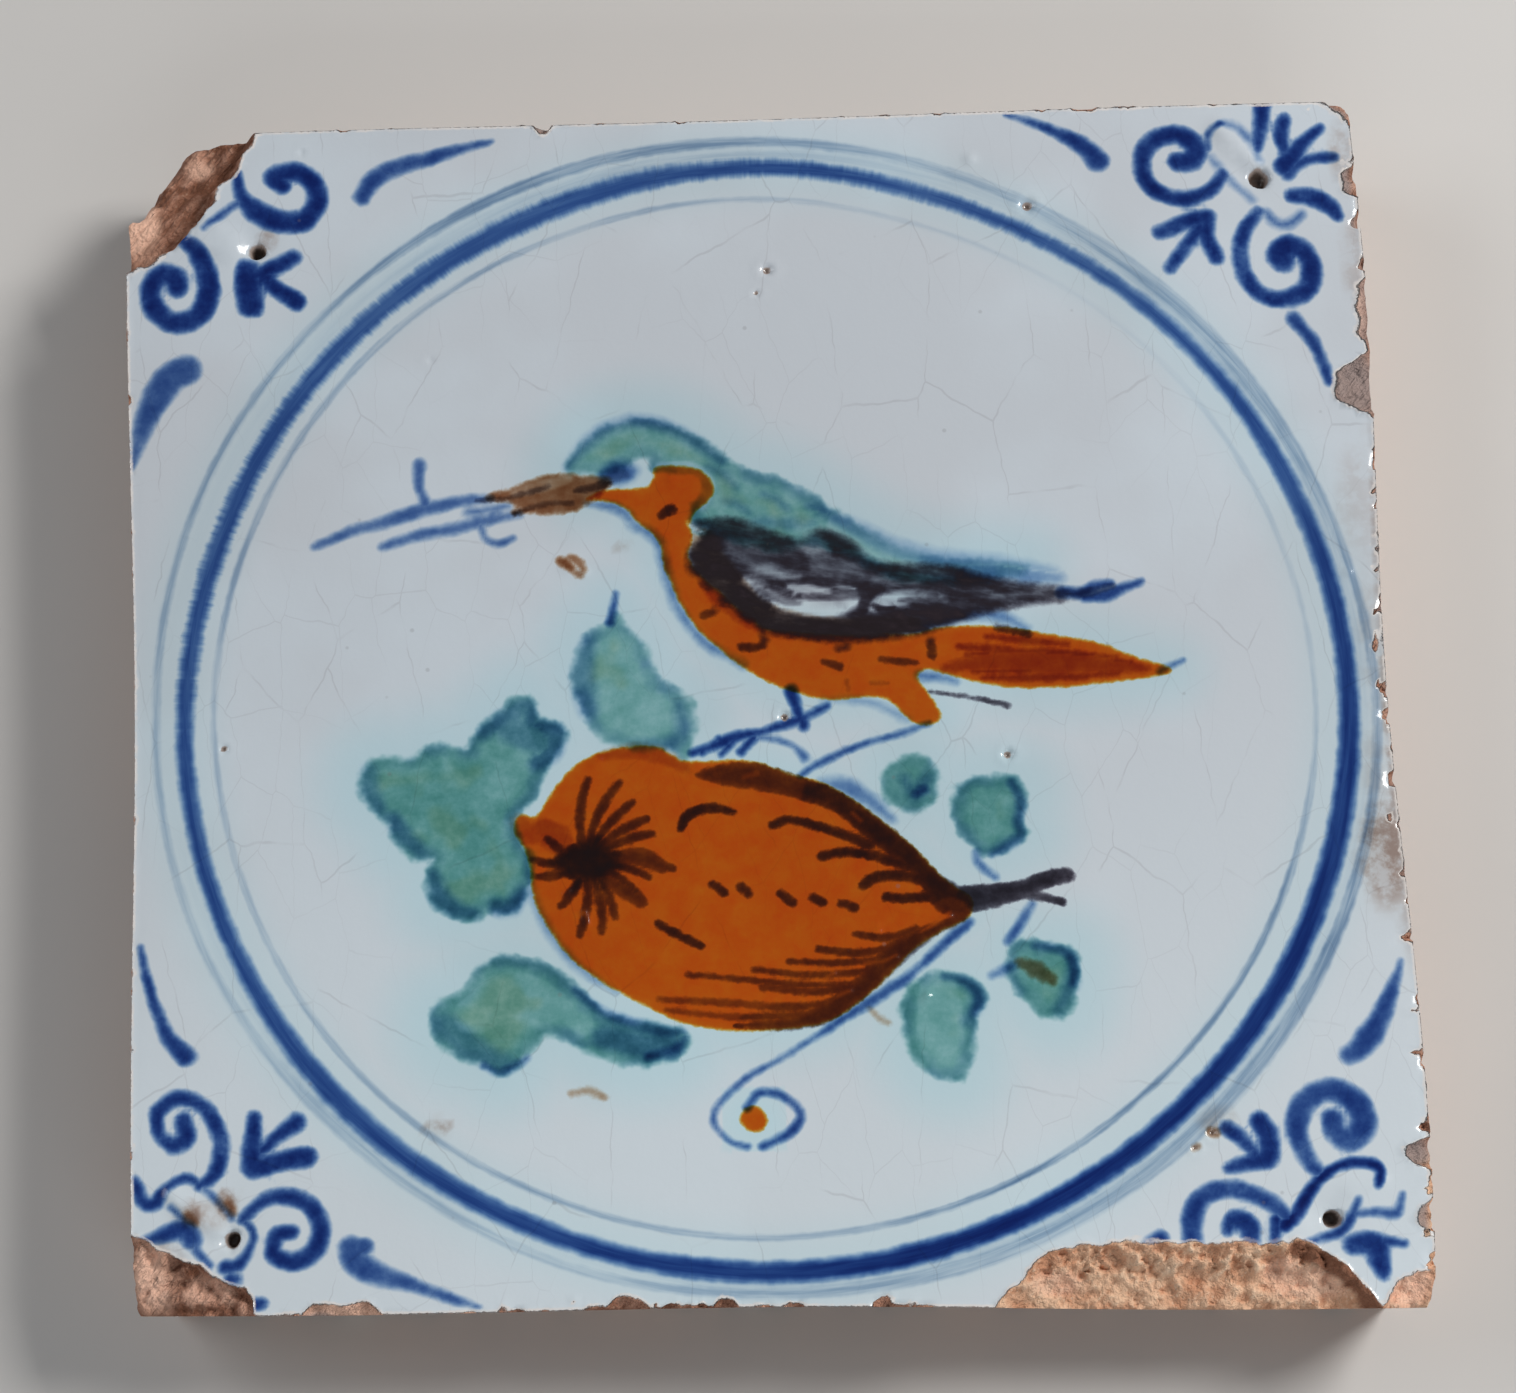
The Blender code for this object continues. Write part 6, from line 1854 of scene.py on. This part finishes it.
def painted_glaze(name, groups, broken):
    """The tin glaze with its painting, and the clay where glaze is missing."""
    material, shader, surface, place = new_material(name)
    broad = shader.noise(place, *BROAD_TONES)
    ragged = shader.waver(place, *RAGGED_EDGE)
    wavy = shader.waver(place, *WAVY_EDGE)
    mottle = shader.noise(place, *MOTTLES)
    clouds = shader.less(mottle, 0.5)
    glaze = shader.mix(shader.ramp(broad, 0.40, 0.60), GLAZE_WHITE, GLAZE_GREY)
    glaze = shader.mix(shader.ramp(mottle, 0.35, 0.75, 0.0, 0.14), glaze, GLAZE_GREY)
    across, up, _ = shader.node("ShaderNodeSeparateXYZ", {0: place}).outputs
    # Painted light: the glaze's white is made brighter towards the bottom of the face.
    glaze = shader.mix(shader.ramp(up, *BRIGHT_LOWER_PART), glaze, GLAZE_BRIGHT)

    def brushed(inside, softness, raggedness, mottling, pooling, edge=ragged):
        return shader.group(groups["brush"], {
            "Inside": inside, "Ragged": edge, "Clouds": clouds, "Softness": softness,
            "Raggedness": raggedness, "Mottling": mottling, "Pooling": pooling,
        })

    def stain(under, pigment, load):
        inputs = {"Under": under, "Pigment": pigment, "Load": load}
        return shader.group(groups["pigment"], inputs)["Color"]

    copper = shader.attribute("copper")
    orange = shader.attribute("orange")
    dark = shader.attribute("dark")
    wing = shader.attribute("wing")
    near_colour = shader.larger(copper, shader.less(orange, 1.0))
    square = shader.times_plus(across, across, shader.times(up, up))
    from_ring = shader.math("ABSOLUTE", shader.less(shader.math("SQRT", square), MAIN_RADIUS))
    halo = shader.ramp(near_colour, *HALO_NEAR_COLOUR)
    halo = shader.larger(halo, shader.ramp(from_ring, *HALO_NEAR_RING))
    glaze = stain(glaze, HALO, halo)

    ochre = brushed(orange, *OCHRE_BRUSH)
    leaf = brushed(copper, *LEAF_BRUSH, edge=wavy)
    under_ochre = shader.ramp(ochre["Depth"], *UNDER_OCHRE)
    drift = shader.noise(place, *DRIFTS)
    outer = shader.ramp(leaf["Depth"], *LEAF_RIM_OUTSIDE)
    rim = shader.times(outer, shader.ramp(leaf["Depth"], *LEAF_RIM_INSIDE))
    rim = shader.times(rim, shader.ramp(drift, *LEAF_RIM_DRIFT))
    rim = shader.times(rim, under_ochre)
    leaf_load = shader.times(leaf["Load"], shader.attribute("copper_load"))
    leaf_load = shader.times(leaf_load, under_ochre)
    colour = stain(glaze, COPPER, leaf_load)
    yellowed = shader.ramp(drift, *YELLOWED_DRIFT)
    yellowed = shader.times(yellowed, shader.ramp(copper, *YELLOWED_DEPTH))
    colour = stain(colour, ORANGE, shader.math("ADD", ochre["Load"], yellowed))

    umber = brushed(shader.attribute("brown"), *UMBER_BRUSH)
    umber_load = shader.times(umber["Load"], shader.attribute("brown_load"))
    colour = stain(colour, BROWN, umber_load)

    lines = brushed(shader.attribute("cobalt"), *LINE_BRUSH, edge=wavy)
    washes = brushed(shader.attribute("wash"), *WASH_BRUSH, edge=wavy)
    main_ring, thin_rings = ring_loads(shader, place, wavy, groups["ring"])
    blue = shader.times(shader.attribute("cobalt_load"), BLUE_STRENGTH)
    blue = shader.times(lines["Load"], blue)
    blue = shader.times_plus(washes["Load"], shader.attribute("wash_load"), blue)
    blue = shader.math("ADD", shader.math("ADD", blue, rim), main_ring)
    colour = stain(colour, COBALT, blue)
    colour = stain(colour, THIN_BLUE, thin_rings)

    darks = brushed(dark, shader.times_plus(wing, WING_SOFTNESS, DARK_SOFTNESS), *DARK_BRUSH)
    feathers = shader.scaled(shader.turned(place, FEATHER_TURN), FEATHER_SCALE)
    feathers = shader.noise(feathers, *STREAKS)
    feathers = shader.times(shader.ramp(feathers, *FEATHER_LOADS), wing)
    dark_load = shader.times(darks["Load"], shader.attribute("dark_load"))
    dark_load = shader.times_plus(dark_load, feathers, dark_load)
    colour = stain(colour, MANGANESE, dark_load)
    body = shader.times(dark_load, shader.times_plus(wing, 0.15, 0.05))
    body = shader.times(body, dark_load)
    colour = shader.mix(body, colour, MANGANESE_BODY)

    stained = shader.times(shader.attribute("stain"), shader.ramp(mottle, *STAIN_MOTTLES))
    colour = stain(colour, OLD_STAIN, stained)
    cracks = shader.group(groups["craze"], {"Place": shader.scaled(place, ON_THE_FACE)})["Cracks"]
    colour = stain(colour, CRACK_TINT, shader.times(cracks, CRACK_STRENGTH))
    specks = shader.speckle(place, DUST_SIZE)
    dust = shader.times(shader.ramp(specks, *DUST_SPECKS), DUST_STRENGTH)
    colour = shader.mix(dust, colour, CRACK_DIRT)
    # Pits and pinholes: rust brown in them, and darkest where they are deepest.
    pit = shader.times_plus(ragged, 0.5, shader.attribute("pit"))
    colour = shader.mix(shader.ramp(pit, *PIT_RUST_BAND), colour, PIT_RUST)
    colour = shader.mix(shader.ramp(pit, *PIT_DEEPEST_BAND), colour, PIT_DEEPEST)

    height = shader.times(clouds, GLAZE_DIMPLES)
    roughness = GLAZE_ROUGHNESS
    if broken:
        colour, height, roughness = add_breaks(shader, groups, place, mottle, colour, height)
    finish_surface(shader, surface, colour, height, roughness)
    return material


def bare_clay(groups):
    """The unglazed clay of the sides and the back, with old bedding mortar left on it, and painted shade in
    its knife grooves and pits.
    """
    material, shader, surface, place = new_material("bare_clay")
    drag_lines = shader.noise(shader.scaled(place, DRAG_SCALE), *DRAG_LINES)
    clay = shader.group(groups["clay"], {
        "Place": place, "Tan": SIDE_TAN, "Pink_and_painted_light": 0.15, "Dark": 0.0, "Dirt": 0.0, "Relief": 0.0,
    })
    grime = shader.noise(place, *GRIME)
    colour = shader.mix(shader.ramp(grime, 0.42, 0.70, 0.0, 0.65), clay["Color"], CLAY_DIRTY)
    # Painted shade in the grooves that the knife dragged.
    colour = shader.mix(shader.ramp(drag_lines, 0.38, 0.54, 0.24, 0.0), colour, CLAY_DARK_AND_SHADE)
    # Painted shade in the pits, laid only where the clay is grimy.
    pits = shader.speckle(place, BACK_PIT_SIZE)
    pit = shader.times(shader.ramp(pits, 0.10, 0.24, 1.0, 0.0), shader.ramp(grime, 0.50, 0.60))
    colour = shader.mix(shader.times(pit, 0.6), colour, CLAY_DARK_AND_SHADE)
    crust = shader.noise(place, *MORTAR_CRUST)
    crumbs = shader.noise(place, *MORTAR_CRUMBS)
    crust = shader.times_plus(shader.less(crumbs, 0.5), 0.10, crust)
    crust_cover = shader.ramp(crust, 0.575, 0.615)
    mortar = shader.mix(shader.ramp(crumbs, 0.35, 0.65), MORTAR_DARK, MORTAR_PALE)
    colour = shader.mix(shader.times(crust_cover, 0.9), colour, mortar)
    height = shader.times_plus(drag_lines, 0.4, clay["Height"])
    height = shader.times_plus(pit, -0.7, height)
    lift = shader.times_plus(crumbs, 0.5, shader.ramp(crust, 0.555, 0.64, 0.0, 0.7))
    height = shader.times_plus(crust_cover, lift, height)
    finish_surface(shader, surface, colour, height, BACK_ROUGHNESS)
    return material


# Edges sharper than this, in degrees, stay sharp.
SMOOTH_UNDER = 60


def finish_tile(tile, unit, bare):
    """Gives the glazed parts and the bare parts their materials, and smooths the shading."""
    groups = dict(
        pigment=pigment_group(), brush=brush_group(), ring=ring_group(), clay=clay_group(),
        craze=craze_group(),
    )
    mesh = tile.data
    mesh.materials.clear()
    mesh.materials.append(painted_glaze("whole_glaze", groups, False))
    mesh.materials.append(painted_glaze("broken_glaze", groups, True))
    mesh.materials.append(bare_clay(groups))
    loops = whole_numbers(mesh.loops, "vertex_index")
    starts = whole_numbers(mesh.polygons, "loop_start")
    least_bare = np.minimum.reduceat(bare[loops], starts)
    least_high = np.minimum.reduceat(unit[loops, 2], starts)
    most_bare = np.maximum.reduceat(bare[loops], starts)
    kind = np.where(most_bare > CLEAR_OF_CLAY, 1, 0)
    kind[(least_bare > WELL_PAST_GLAZE) & (least_high < EDGE_LEVEL)] = 2
    mesh.polygons.foreach_set("material_index", kind.astype(np.int32))
    bpy.ops.object.select_all(action="DESELECT")
    tile.select_set(True)
    bpy.context.view_layer.objects.active = tile
    bpy.ops.object.shade_smooth_by_angle(angle=math.radians(SMOOTH_UNDER))


def make_tile():
    tile = slab()
    unit, faces, bare, clay_relief = shape_tile(tile)
    colour_tile(tile, unit, faces, bare, clay_relief)
    map_tile(tile, unit)
    finish_tile(tile, unit, bare)
    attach(tile, "root")
    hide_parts("glazed_tile")
    return tile


# The camera sees from and to these distances, in metres.
NEAREST = 0.01
FARTHEST = 10.0


def place_camera():
    """The camera, where the photograph was taken."""
    data = bpy.data.cameras.new("camera")
    data.sensor_fit = "HORIZONTAL"
    data.sensor_width = SENSOR_WIDTH
    data.lens = SENSOR_WIDTH * FOCAL_PIXELS / IMAGE_WIDTH
    data.clip_start = NEAREST
    data.clip_end = FARTHEST
    camera = bpy.data.objects.new("camera", data)
    axes = Matrix((CAMERA_RIGHT, CAMERA_UP, CAMERA_BACK)).transposed()
    camera.matrix_world = Matrix.Translation(CAMERA_PLACE) @ axes.to_4x4()
    bpy.context.scene.collection.objects.link(camera)
    bpy.context.scene.camera = camera


# The lights: the name, place, size, power and colour of each.
LIGHTS = (
    ("window", (0.62, 0.26, 0.58), (0.34, 0.28), 6.55, (1.0, 0.985, 0.96)),
    ("far_wall", (-0.80, 0.30, 0.55), (0.7, 0.5), 2.8, (0.96, 0.98, 1.0)),
    ("near_wall", (0.10, -0.95, 0.50), (0.8, 0.5), 2.9, (0.93, 0.97, 1.0)),
)
SURROUND = (0.80, 0.86, 0.92, 1)
SURROUND_STRENGTH = 0.115
FLOOR_SIZE = 4.0
FLOOR_DARKER = (0.625, 0.605, 0.585, 1)
FLOOR_PALER = (0.63, 0.61, 0.59, 1)


def softbox(name, place, size, power, colour):
    """A large soft light that faces the tile."""
    data = bpy.data.lights.new(name, "AREA")
    data.shape = "RECTANGLE"
    data.size = size[0]
    data.size_y = size[1]
    data.energy = power
    data.color = colour
    light = bpy.data.objects.new(name, data)
    light.location = place
    light.rotation_euler = (-Vector(place)).to_track_quat("-Z", "Y").to_euler()
    bpy.context.scene.collection.objects.link(light)


def studio():
    """A pale floor, a pale surround and soft light from the right."""
    bpy.ops.mesh.primitive_plane_add(size=FLOOR_SIZE, location=(0, 0, 0))
    floor = bpy.context.object
    floor.name = "floor"
    material, shader, surface, place = new_material("pale_floor")
    speckle = shader.noise(place, *FLOOR_TONES)
    colour = shader.mix(shader.ramp(speckle, 0.3, 0.7), FLOOR_DARKER, FLOOR_PALER)
    shader.put(surface.inputs["Base Color"], colour)
    shader.put(surface.inputs["Roughness"], FLOOR_ROUGHNESS)
    floor.data.materials.append(material)
    for light in LIGHTS:
        softbox(*light)
    world = bpy.data.worlds.new("surround")
    world.use_nodes = True
    background = world.node_tree.nodes["Background"].inputs
    background["Color"].default_value = SURROUND
    background["Strength"].default_value = SURROUND_STRENGTH
    bpy.context.scene.world = world
    bpy.context.scene.view_settings.view_transform = "Standard"


place_camera()
studio()
make_tile()
